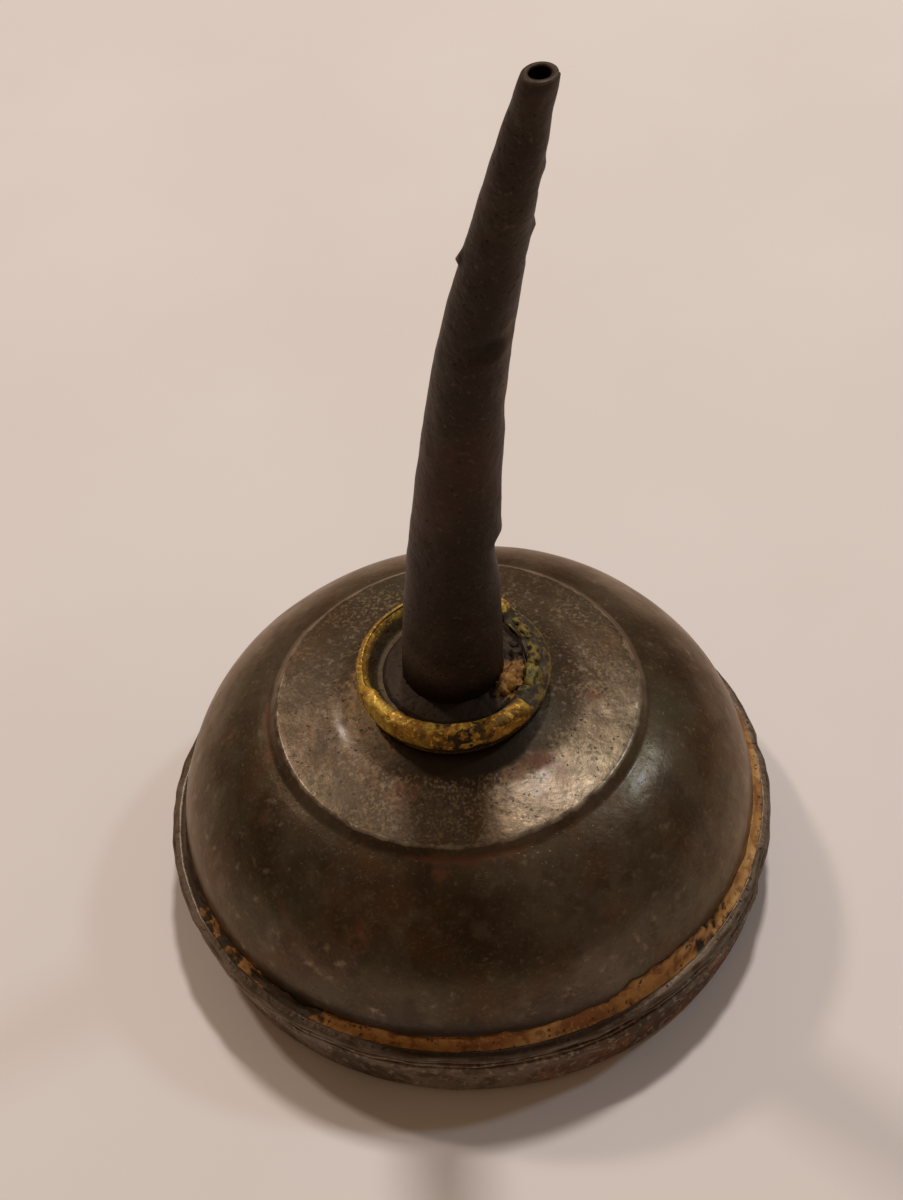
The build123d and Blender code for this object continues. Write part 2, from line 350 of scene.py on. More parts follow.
@dataclass
class Wiring:
    """Adds nodes to one node tree and joins them up."""

    tree: bpy.types.NodeTree

    def add(self, kind: str, inputs: dict | None = None, **settings: str) -> bpy.types.Node:
        """Adds a node.

        Args:
            kind: node type's name without its ShaderNode prefix.
            inputs: socket name or number to a value or to another node's output.
            settings: the node's own properties.

        Returns:
            The new node.
        """
        node = self.tree.nodes.new("ShaderNode" + kind)
        for key, value in settings.items():
            setattr(node, key, value)
        for key, value in (inputs or {}).items():
            self.feed(node.inputs[key], value)
        return node

    def feed(self, socket: Socket, value: Value) -> None:
        """Sets a socket, or links another node's output to it.

        Args:
            socket: the input socket.
            value: number, colour or output socket.
        """
        if isinstance(value, Socket):
            self.tree.links.new(value, socket)
        elif socket.type == "RGBA" and len(value) == 3:
            socket.default_value = (*value, 1)
        else:
            socket.default_value = value

    def maths(self, operation: str, one: Value, two: Value = 0.0) -> Socket:
        """One step of arithmetic."""
        return self.add("Math", {0: one, 1: two}, operation=operation).outputs[0]

    def span(self, value: Value, low: Value, high: Value, start: float = 0.0, end: float = 1.0) -> Socket:
        """Maps the range from low to high smoothly onto start to end, clamped."""
        given = {"Value": value, "From Min": low, "From Max": high, "To Min": start, "To Max": end}
        return self.add("MapRange", given, interpolation_type="SMOOTHSTEP").outputs[0]

    def mix(self, amount: Value, under: Value, over: Value) -> Socket:
        """Lays one colour over another by an amount."""
        return self.add("Mix", {0: amount, 6: under, 7: over}, data_type="RGBA").outputs[2]

    def swing(self, value: Socket, reach: float) -> Socket:
        """Turns a value from 0 to 1 into one that swings about 0."""
        return self.maths("MULTIPLY", self.maths("SUBTRACT", value, 0.5), reach)

    def place(self) -> Socket:
        """The surface's own place on the piece."""
        return self.add("TexCoord").outputs["Object"]

    def cloud(
        self,
        scale: Value,
        detail: float = 4.0,
        seed: Value = 0.0,
        where: Socket | None = None,
        rough: float = 0.55,
    ) -> Socket:
        """Smooth random value from 0 to 1.

        Args:
            scale: clouds to the metre.
            detail: layers of finer noise.
            seed: place in the noise.
            where: coordinates to use instead of the surface's own place.
            rough: strength of the finer layers.

        Returns:
            The value's socket.
        """
        given = {"W": seed, "Scale": scale, "Detail": detail, "Roughness": rough}
        given["Vector"] = where or self.place()
        return self.add("TexNoise", given, noise_dimensions="4D").outputs[0]

    def painted(self, name: str) -> Socket:
        """An amount that the mesh carries."""
        return self.add("Attribute", attribute_name=name).outputs["Fac"]

    def use(self, group: bpy.types.NodeTree, inputs: dict[str, Value]) -> bpy.types.Node:
        """Places a shared effect.

        Args:
            group: the effect's node group.
            inputs: its sockets' names and values.

        Returns:
            The group's node.
        """
        node = self.tree.nodes.new("ShaderNodeGroup")
        node.node_tree = group
        for key, value in inputs.items():
            self.feed(node.inputs[key], value)
        return node


def effect(name: str, inputs: dict[str, float], outputs: list[str], fill: Fill) -> bpy.types.NodeTree:
    """Builds a shared effect as a node group.

    Args:
        name: the group's name.
        inputs: socket names and their usual values.
        outputs: names of the values that come out.
        fill: function of (wiring, input node) that returns one socket for each output.

    Returns:
        The node group.
    """
    tree = bpy.data.node_groups.new(name, "ShaderNodeTree")
    for key, value in inputs.items():
        socket = tree.interface.new_socket(key, in_out="INPUT", socket_type="NodeSocketFloat")
        socket.default_value = value
    for key in outputs:
        tree.interface.new_socket(key, in_out="OUTPUT", socket_type="NodeSocketFloat")
    source = tree.nodes.new("NodeGroupInput")
    sink = tree.nodes.new("NodeGroupOutput")
    for socket, value in zip(sink.inputs, fill(Wiring(tree), source)):
        tree.links.new(value, socket)
    return tree


def fill_blotches(w: Wiring, given: bpy.types.Node) -> list[Socket]:
    """Soft patches: where smooth noise lies above a level."""
    size = w.cloud(given.outputs["Scale"], 6.0, given.outputs["Seed"])
    return [w.span(size, given.outputs["Low"], given.outputs["High"])]


def fill_pits(w: Wiring, given: bpy.types.Node) -> list[Socket]:
    """Small corrosion pits of mixed size, in patches, as a mask and a depth.

    Args:
        w: wiring of the effect.
        given: the effect's input node.

    Returns:
        One socket for each output.
    """
    warp = w.add("TexNoise", {"Vector": w.place(), "Scale": given.outputs["Scale"]}).outputs["Color"]
    shift = w.add("VectorMath", {0: warp, "Scale": 0.0006}, operation="SCALE").outputs[0]
    where = w.add("VectorMath", {0: w.place(), 1: shift}, operation="ADD").outputs[0]
    cells = w.add("TexVoronoi", {"Vector": where, "Scale": given.outputs["Scale"]})
    spread = w.add("SeparateColor", {0: cells.outputs["Color"]}).outputs[0]
    width = w.span(spread, w.maths("SUBTRACT", 1.0, given.outputs["Cover"]), 1.0, 0.0, 0.42)
    ratio = w.maths("DIVIDE", cells.outputs["Distance"], w.maths("MAXIMUM", width, 0.001))
    mask = w.span(ratio, 0.65, 1.0, 1.0, 0.0)
    return [mask, w.maths("SUBTRACT", 1.0, mask)]


def fill_edge_wear(w: Wiring, given: bpy.types.Node) -> list[Socket]:
    """Bright rubbed metal on edges that stand out, broken up by noise.

    Args:
        w: wiring of the effect.
        given: the effect's input node.

    Returns:
        One socket for each output.
    """
    ragged = w.swing(w.cloud(given.outputs["Breakup"], 5.0, 3.0), 0.14)
    level = w.maths("ADD", given.outputs["Relief"], ragged)
    return [w.span(level, given.outputs["Start"], given.outputs["Full"])]


def fill_grime(w: Wiring, given: bpy.types.Node) -> list[Socket]:
    """Dark dirt and painted shade in hollows, with a ragged edge.

    Args:
        w: wiring of the effect.
        given: the effect's input node.

    Returns:
        One socket for each output.
    """
    ragged = w.swing(w.cloud(given.outputs["Breakup"], 5.0, 9.0), 0.3)
    level = w.maths("ADD", given.outputs["Relief"], ragged)
    return [w.span(level, given.outputs["Full"], given.outputs["Start"], 1.0, 0.0)]


def fill_scratches(w: Wiring, given: bpy.types.Node) -> list[Socket]:
    """Thin hairlines that run two ways, in patches.

    Args:
        w: wiring of the effect.
        given: the effect's input node.

    Returns:
        One socket for each output.
    """
    lines = []
    for turn, seed in ((0.4, 1.0), (1.9, 5.0)):
        turned = {0: w.place(), "Rotation": (0.3, 0.2, turn), "Scale": (1.0, 9.0, 3.0)}
        where = w.add("Mapping", turned).outputs[0]
        streaks = w.cloud(given.outputs["Scale"], 2.0, seed, where)
        off = w.maths("ABSOLUTE", w.maths("SUBTRACT", streaks, 0.5))
        lines.append(w.span(off, 0.0, given.outputs["Width"], 1.0, 0.0))
    both = w.maths("MAXIMUM", *lines)
    patch = w.span(w.cloud(160.0, 3.0, 12.0), 0.5, 0.66)
    return [w.maths("MULTIPLY", both, patch)]


@dataclass(frozen=True)
class Effects:
    """The shared effects, built once and placed in each finish with its own values."""

    blotches: bpy.types.NodeTree
    pits: bpy.types.NodeTree
    edge_wear: bpy.types.NodeTree
    grime: bpy.types.NodeTree
    scratches: bpy.types.NodeTree

    @classmethod
    def build(cls) -> "Effects":
        """Builds the five node groups.

        Returns:
            The five groups.
        """
        patch = {"Scale": 50, "Seed": 0, "Low": 0.45, "High": 0.6}
        edge = {"Relief": 0.5, "Breakup": 300, "Start": 0.6, "Full": 0.75}
        return cls(
            blotches=effect("blotches", patch, ["Mask"], fill_blotches),
            pits=effect("pits", {"Scale": 900, "Cover": 0.4}, ["Mask", "Height"], fill_pits),
            edge_wear=effect("edge_wear", edge, ["Mask"], fill_edge_wear),
            grime=effect("grime", edge, ["Mask"], fill_grime),
            scratches=effect("scratches", {"Scale": 260, "Width": 0.008}, ["Mask"], fill_scratches),
        )


@dataclass
class Layers:
    """Stacks colour, roughness and metal of one finish from the bottom up."""

    w: Wiring
    effects: Effects
    colour: Value
    roughness: Value
    metallic: Value

    def lay(self, mask: Value, colour: Colour, rough: Share = None, metal: Share = None) -> None:
        """Covers what is there by a mask.

        Args:
            mask: where and how much it covers.
            colour: colour of the layer.
            rough: its roughness, where it changes.
            metal: its metal share, where it changes.
        """
        self.colour = self.w.mix(mask, self.colour, colour)
        if rough is not None:
            self.roughness = self.blend(mask, self.roughness, rough)
        if metal is not None:
            self.metallic = self.blend(mask, self.metallic, metal)

    def blend(self, mask: Value, under: Value, over: float) -> Socket:
        """Mixes two plain values by a mask."""
        return self.w.add("Mix", {0: mask, 2: under, 3: over}).outputs[0]

    def ragged(self, name: str, scale: float, reach: float) -> Socket:
        """An amount that the mesh carries, with noise added to make its edge ragged."""
        broken = self.w.swing(self.w.cloud(scale, 7, rough=0.65), reach)
        return self.w.maths("ADD", self.w.painted(name), broken)

    def part(self, mask: Value, share: Value) -> Socket:
        """Weakens a mask by a share, or by another mask."""
        return self.w.maths("MULTIPLY", mask, share)

    def patches(self, scale: float, low: float, high: float, seed: float = 0.0) -> Socket:
        """Mask of soft patches."""
        given = {"Scale": scale, "Seed": seed, "Low": low, "High": high}
        return self.w.use(self.effects.blotches, given).outputs["Mask"]

    def blot(
        self,
        colour: Colour,
        patch: tuple[float, ...],
        share: Value = 1.0,
        rough: Share = None,
        metal: Share = None,
    ) -> None:
        """Lays soft patches of a colour.

        Args:
            colour: colour of the patches.
            patch: scale, low and high levels and, where given, seed of the patches.
            share: how much of each patch shows, as a number or a mask.
            rough: roughness there.
            metal: metal share there.
        """
        self.lay(self.part(self.patches(*patch), share), colour, rough, metal)

    def pitted(self, scale: float, cover: float) -> bpy.types.Node:
        """Corrosion pits."""
        return self.w.use(self.effects.pits, {"Scale": scale, "Cover": cover})

    def worn(self, start: float, full: float, breakup: float = 300.0) -> Socket:
        """Mask of rubbed edges."""
        given = {"Relief": self.w.painted("relief"), "Breakup": breakup, "Start": start, "Full": full}
        return self.w.use(self.effects.edge_wear, given).outputs["Mask"]

    def dirty(self, start: float, full: float, breakup: float = 250.0) -> Socket:
        """Mask of dirt and painted shade in hollows."""
        given = {"Relief": self.w.painted("relief"), "Breakup": breakup, "Start": start, "Full": full}
        return self.w.use(self.effects.grime, given).outputs["Mask"]

    def scratched(self, scale: float, width: float) -> Socket:
        """Mask of hairline scratches."""
        return self.w.use(self.effects.scratches, {"Scale": scale, "Width": width}).outputs["Mask"]

    def finish(self, shader: bpy.types.Node, *bumps: tuple[Socket, float, float]) -> None:
        """Chains the bumps and joins the finished stack to its shader.

        Args:
            shader: the material's shader.
            bumps: each as (height, strength, distance in metres).
        """
        given = {}
        for height, strength, distance in bumps:
            given |= {"Height": height, "Strength": strength, "Distance": distance}
            given["Normal"] = self.w.add("Bump", given).outputs[0]
        self.w.feed(shader.inputs["Base Color"], self.colour)
        self.w.feed(shader.inputs["Roughness"], self.roughness)
        self.w.feed(shader.inputs["Metallic"], self.metallic)
        self.w.feed(shader.inputs["Normal"], given["Normal"])
        shader.inputs["Specular Tint"].default_value = (*OILY_TINT, 1)


def new_look(
    name: str, effects: Effects, colour: Colour, roughness: float, metallic: float
) -> tuple[bpy.types.Material, bpy.types.Node, Layers]:
    """Starts a material.

    Args:
        name: the material's name.
        effects: shared effects.
        colour: bottom colour.
        roughness: bottom roughness.
        metallic: bottom metal share.

    Returns:
        The material, its shader and its stack of layers.
    """
    look = bpy.data.materials.new(name)
    look.use_nodes = True
    shader = look.node_tree.nodes["Principled BSDF"]
    return look, shader, Layers(Wiring(look.node_tree), effects, colour, roughness, metallic)


@dataclass(frozen=True)
class DomeSteel:
    """Dark, oily tin plate: brown film over grey metal, speckled crust, rubbed edges and rust spots."""

    film: Colour = (0.038, 0.0215, 0.0105)
    metal: Colour = (0.115, 0.086, 0.056)
    olive: Colour = (0.072, 0.060, 0.032)
    brown: Colour = (0.075, 0.036, 0.014)
    bright: Colour = (0.40, 0.31, 0.21)
    ash: Colour = (0.17, 0.130, 0.085)
    crust: Colour = (0.20, 0.125, 0.050)
    gold: Colour = (0.25, 0.140, 0.045)
    rust: Colour = (0.115, 0.032, 0.014)
    ochre: Colour = (0.36, 0.180, 0.055)
    # Near-black, used for dirt and for painted shade.
    dirt: Colour = (0.013, 0.007, 0.004)

    def build(self, effects: Effects) -> bpy.types.Material:
        """Makes the material.

        Args:
            effects: shared effects.

        Returns:
            The material.
        """
        look, shader, s = new_look("dome_steel", effects, self.film, 0.34, 0.60)
        shader.inputs["Coat Weight"].default_value = 0.10
        shader.inputs["Coat Roughness"].default_value = 0.16
        w = s.w
        crusty = w.painted("crust")
        s.blot(self.metal, (46, 0.42, 0.62), 0.9, 0.27)
        s.blot(self.olive, (85, 0.47, 0.62, 11), 0.8, 0.33)
        s.blot(self.brown, (110, 0.49, 0.64, 4), 0.8, 0.38)
        s.blot(self.metal, (260, 0.52, 0.66, 17), 0.55, 0.28)
        s.lay(s.part(crusty, 0.74), self.film, 0.35, 0.42)
        s.blot(self.film, (420, 0.46, 0.66, 7), 0.55, 0.40)
        s.blot(self.ash, (2300, 0.52, 0.74, 13), 0.40, 0.40)
        patchy = s.part(crusty, s.patches(170, 0.40, 0.58, 51))
        s.blot(self.dirt, (1500, 0.50, 0.62, 3), s.part(patchy, 0.85), 0.60, 0.3)
        s.blot(self.crust, (2600, 0.51, 0.60, 2), s.part(patchy, 0.90), 0.65, 0.15)
        s.blot(self.ash, (1300, 0.56, 0.66, 33), s.part(crusty, 0.70), 0.45, 0.3)
        golden = s.ragged("blush", 700, 1.2)
        golden = s.part(w.span(golden, 0.45, 0.95), s.patches(2400, 0.42, 0.58, 41))
        s.lay(golden, self.gold, 0.6, 0.2)
        pits = s.pitted(2400, 0.30)
        s.lay(s.part(pits.outputs["Mask"], w.span(crusty, 0, 1, 0.2, 0.8)), self.dirt, 0.7, 0.2)
        s.lay(s.part(s.scratched(240, 0.004), 0.30), self.bright, 0.34)
        rusted = w.span(s.ragged("rust", 420, 1.7), 0.58, 1.20)
        s.blot(self.rust, (1300, 0.40, 0.60, 61), s.part(rusted, 0.8), 0.7, 0.15)
        # Dirt and painted shade in hollows: near-black, then rust-brown in the valley below the
        # platform's edge.
        s.lay(s.part(s.dirty(0.475, 0.40), 0.85), self.dirt, 0.62, 0.3)
        s.blot(self.rust, (60, 0.46, 0.56, 31), s.part(s.dirty(0.485, 0.44, 120), 0.7), 0.7, 0.2)
        s.lay(s.part(s.worn(0.53, 0.57, 700), 0.65), self.bright, 0.34, 0.85)
        # Grease and painted shade: black under the collar, and painted shade low on the dome's front.
        s.lay(w.span(s.ragged("grease", 900, 0.8), 0.30, 0.85), self.dirt, 0.50, 0.1)
        ragged = s.ragged("smear", 900, 1.3)
        s.lay(w.span(ragged, 0.46, 0.62), self.brown, 0.65, 0.2)
        s.lay(w.span(ragged, 0.66, 0.90), self.ochre, 0.65, 0.1)
        s.finish(
            shader,
            (w.cloud(150, 5.0, 1.0), 0.28, 0.0008),
            (w.cloud(1500, 5.0, 2.0), 0.13, 0.00014),
            (pits.outputs["Height"], 0.35, 0.00008),
        )
        return look


@dataclass(frozen=True)
class PanSteel:
    """Worn grey tin plate with rust-red patches, dirt and painted shade in the grooves, and an oily lip.
    """

    tin: Colour = (0.215, 0.172, 0.128)
    film: Colour = (0.050, 0.030, 0.017)
    rust: Colour = (0.150, 0.056, 0.030)
    orange: Colour = (0.30, 0.120, 0.036)
    bright: Colour = (0.42, 0.36, 0.29)
    # Near-black, used for dirt and for painted shade in the grooves.
    dirt: Colour = (0.014, 0.009, 0.006)

    def build(self, effects: Effects) -> bpy.types.Material:
        """Makes the material.

        Args:
            effects: shared effects.

        Returns:
            The material.
        """
        look, shader, s = new_look("pan_steel", effects, self.tin, 0.58, 0.35)
        w = s.w
        s.blot(self.film, (48, 0.40, 0.60, 3), 1.0, 0.52)
        s.blot(self.rust, (60, 0.44, 0.62, 8), w.painted("rusty"), 0.75, 0.15)
        s.blot(self.orange, (150, 0.52, 0.66, 18), s.part(w.painted("rusty"), 0.7), 0.75, 0.1)
        s.blot(self.film, (380, 0.47, 0.62, 5), 0.7, 0.62)
        s.blot(self.bright, (1500, 0.52, 0.66, 15), 0.5, 0.5)
        s.lay(w.painted("oily"), self.film, 0.46, 0.5)
        s.blot(self.rust, (1800, 0.54, 0.70, 9), s.part(w.painted("oily"), 0.5), 0.6, 0.3)
        pits = s.pitted(2200, 0.40)
        s.lay(s.part(pits.outputs["Mask"], 0.7), self.dirt, 0.75, 0.2)
        # Dirt and painted shade darken the seam's grooves and other hollows.
        s.lay(s.part(s.dirty(0.47, 0.36, 400), 0.95), self.dirt, 0.75, 0.1)
        s.lay(s.part(s.worn(0.60, 0.72, 600), 0.35), self.bright, 0.42, 0.7)
        s.finish(
            shader,
            (w.cloud(240, 5.0, 1.0), 0.5, 0.0008),
            (w.cloud(1600, 5.0, 2.0), 0.45, 0.00016),
            (pits.outputs["Height"], 0.5, 0.0001),
        )
        return look


@dataclass(frozen=True)
class OldSolder:
    """Ochre, crusted solder and sealing compound that is brown with oil where it is worn away."""

    name: str = "seam_solder"
    ochre: Colour = (0.43, 0.205, 0.058)
    pale: Colour = (0.60, 0.35, 0.13)
    burnt: Colour = (0.17, 0.052, 0.016)
    film: Colour = (0.040, 0.023, 0.013)

    def build(self, effects: Effects) -> bpy.types.Material:
        """Makes the material.

        Args:
            effects: shared effects.

        Returns:
            The material.
        """
        look, shader, s = new_look(self.name, effects, self.ochre, 0.62, 0.1)
        w = s.w
        s.blot(self.pale, (170, 0.48, 0.70, 1), 0.8, 0.58)
        s.blot(self.burnt, (140, 0.45, 0.62, 6), 0.75, 0.7)
        s.blot(self.burnt, (800, 0.48, 0.62, 2), 0.7, 0.72)
        s.blot(self.pale, (2600, 0.54, 0.68, 12), 0.5, 0.6)
        s.lay(w.span(s.ragged("bare", 450, 1.9), 0.34, 0.66), self.film, 0.6, 0.25)
        pits = s.pitted(2000, 0.45)
        s.lay(s.part(pits.outputs["Mask"], 0.8), self.film, 0.8)
        s.finish(shader, (w.cloud(420, 6.0, 3.0), 0.7, 0.0004), (pits.outputs["Height"], 0.6, 0.0001))
        return look


@dataclass(frozen=True)
class OldBrass:
    """Brass gone ochre: rubbed brighter on its edges, pitted brown, green where oil and damp stood."""

    ochre: Colour = (0.38, 0.180, 0.022)
    gold: Colour = (0.78, 0.54, 0.075)
    brown: Colour = (0.135, 0.046, 0.010)
    green: Colour = (0.026, 0.030, 0.009)
    pale_green: Colour = (0.22, 0.20, 0.070)
    soot: Colour = (0.018, 0.012, 0.009)
    # Near-black, used for dirt and for painted shade in hollows.
    dirt: Colour = (0.012, 0.008, 0.005)

    def build(self, effects: Effects) -> bpy.types.Material:
        """Makes the material.

        Args:
            effects: shared effects.

        Returns:
            The material.
        """
        look, shader, s = new_look("old_brass", effects, self.ochre, 0.60, 0.35)
        w = s.w
        s.blot(self.gold, (260, 0.47, 0.60, 2), 0.7, 0.45)
        s.blot(self.brown, (330, 0.47, 0.66, 3), 0.65, 0.68, 0.25)
        s.blot(self.brown, (1500, 0.50, 0.62, 9), w.span(w.painted("eaten"), 0, 1, 0.3, 0.85), 0.68, 0.25)
        s.blot(self.gold, (2300, 0.54, 0.61, 14), 0.8, 0.40)
        pits = s.pitted(1700, 0.8)
        s.lay(s.part(pits.outputs["Mask"], w.painted("eaten")), self.dirt, 0.8, 0.1)
        s.blot(self.dirt, (900, 0.47, 0.55, 16), w.painted("eaten"), 0.75, 0.1)
        green = w.span(s.ragged("verdigris", 520, 1.7), 0.42, 0.66)
        s.lay(green, self.green, 0.7, 0.1)
        s.blot(self.pale_green, (500, 0.50, 0.62, 5), green, 0.8, 0.0)
        s.blot(self.dirt, (1700, 0.52, 0.60, 25), green, 0.8, 0.0)
        # Dirt and painted shade in the collar's hollows.
        s.lay(s.part(s.dirty(0.46, 0.36, 500), 0.85), self.dirt, 0.75, 0.1)
        # Old oil and painted shade in the recess, and painted shadow low on the collar.
        s.lay(w.painted("sooty"), self.soot, 0.6, 0.1)
        s.lay(s.part(s.worn(0.60, 0.72, 900), s.part(w.painted("rubbed"), 0.7)), self.gold, 0.40, 0.7)
        s.finish(shader, (w.cloud(520, 6.0, 4.0), 0.8, 0.0003), (pits.outputs["Height"], 0.8, 0.00012))
        return look


@dataclass(frozen=True)
class SpoutSteel:
    """Brown-black rolled steel with a greasy skin, fine pits and a painted reflection along the lap seam.
    """

    skin: Colour = (0.012, 0.0062, 0.0040)
    brown: Colour = (0.040, 0.022, 0.013)
    red: Colour = (0.042, 0.018, 0.011)
    grey: Colour = (0.115, 0.080, 0.055)
    bright: Colour = (0.20, 0.150, 0.11)
    # Near-black, used for dirt and for painted shade.
    dirt: Colour = (0.006, 0.004, 0.003)

    def build(self, effects: Effects) -> bpy.types.Material:
        """Makes the material.

        Args:
            effects: shared effects.

        Returns:
            The material.
        """
        look, shader, s = new_look("spout_steel", effects, self.skin, 0.52, 0.2)
        shader.inputs["Specular IOR Level"].default_value = 0.32
        w = s.w
        s.blot(self.brown, (85, 0.42, 0.64, 1), 1.0, 0.52)
        s.blot(self.red, (60, 0.50, 0.66, 8), 0.7, 0.56)
        s.blot(self.skin, (420, 0.50, 0.70, 4), 0.6, 0.56)
        s.blot(self.grey, (1900, 0.56, 0.70, 6), 0.40, 0.6)
        # Painted reflection: a paler grey band down the side of the lap seam.
        s.blot(self.grey, (140, 0.54, 0.68, 28), w.painted("lapped"), 0.5, 0.5)
        pits = s.pitted(2300, 0.40)
        s.lay(s.part(pits.outputs["Mask"], 0.75), self.dirt, 0.7)
        # Old oil and painted shade at the foot, the mouth and the front dent.
        s.lay(w.painted("sooty"), self.dirt, 0.62, 0.2)
        # Dirt and painted shade in the spout's hollows and dents.
        s.lay(s.part(s.dirty(0.46, 0.36, 300), 0.9), self.dirt, 0.7, 0.2)
        s.lay(s.part(s.worn(0.56, 0.70, 500), 0.45), self.bright, 0.40, 0.7)
        s.finish(
            shader,
            (w.cloud(220, 5.0, 5.0), 0.55, 0.0008),
            (w.cloud(1500, 5.0, 6.0), 0.45, 0.00014),
            (pits.outputs["Height"], 0.4, 0.00008),
        )
        return look


@dataclass(frozen=True)
class OiledLeather:
    """Black-brown leather, soaked with oil, with a fine grain."""

    dark: Colour = (0.022, 0.013, 0.008)
    light: Colour = (0.075, 0.042, 0.022)

    def build(self, effects: Effects) -> bpy.types.Material:
        """Makes the material.

        Args:
            effects: shared effects.

        Returns:
            The material.
        """
        look, shader, s = new_look("oiled_leather", effects, self.dark, 0.55, 0.0)
        s.blot(self.light, (260, 0.45, 0.65, 1), 1.0, 0.62)
        cells = {"Vector": s.w.place(), "Scale": 2600.0}
        grain = s.w.add("TexVoronoi", cells, feature="DISTANCE_TO_EDGE").outputs[0]
        s.finish(shader, (s.w.cloud(600, 5.0, 2.0), 0.5, 0.0003), (grain, 0.5, 0.0001))
        return look


@dataclass(frozen=True)
class Finishes:
    """Every finish of the can, ready to put on."""

    dome: bpy.types.Material
    pan: bpy.types.Material
    seam: bpy.types.Material
    lump: bpy.types.Material
    brass: bpy.types.Material
    spout: bpy.types.Material
    leather: bpy.types.Material

    @classmethod
    def build(cls) -> "Finishes":
        """Builds the shared effects and then each finish.

        Returns:
            Every finish.
        """
        effects = Effects.build()
        lump = OldSolder(
            name="spout_solder",
            ochre=(0.34, 0.165, 0.040),
            pale=(0.62, 0.37, 0.11),
            burnt=(0.11, 0.036, 0.012),
            film=(0.018, 0.010, 0.008),
        )
        return cls(
            dome=DomeSteel().build(effects),
            pan=PanSteel().build(effects),
            seam=OldSolder().build(effects),
            lump=lump.build(effects),
            brass=OldBrass().build(effects),
            spout=SpoutSteel().build(effects),
            leather=OiledLeather().build(effects),
        )


# ---------------------------------------------------------------------------------------------
# The can
# ---------------------------------------------------------------------------------------------


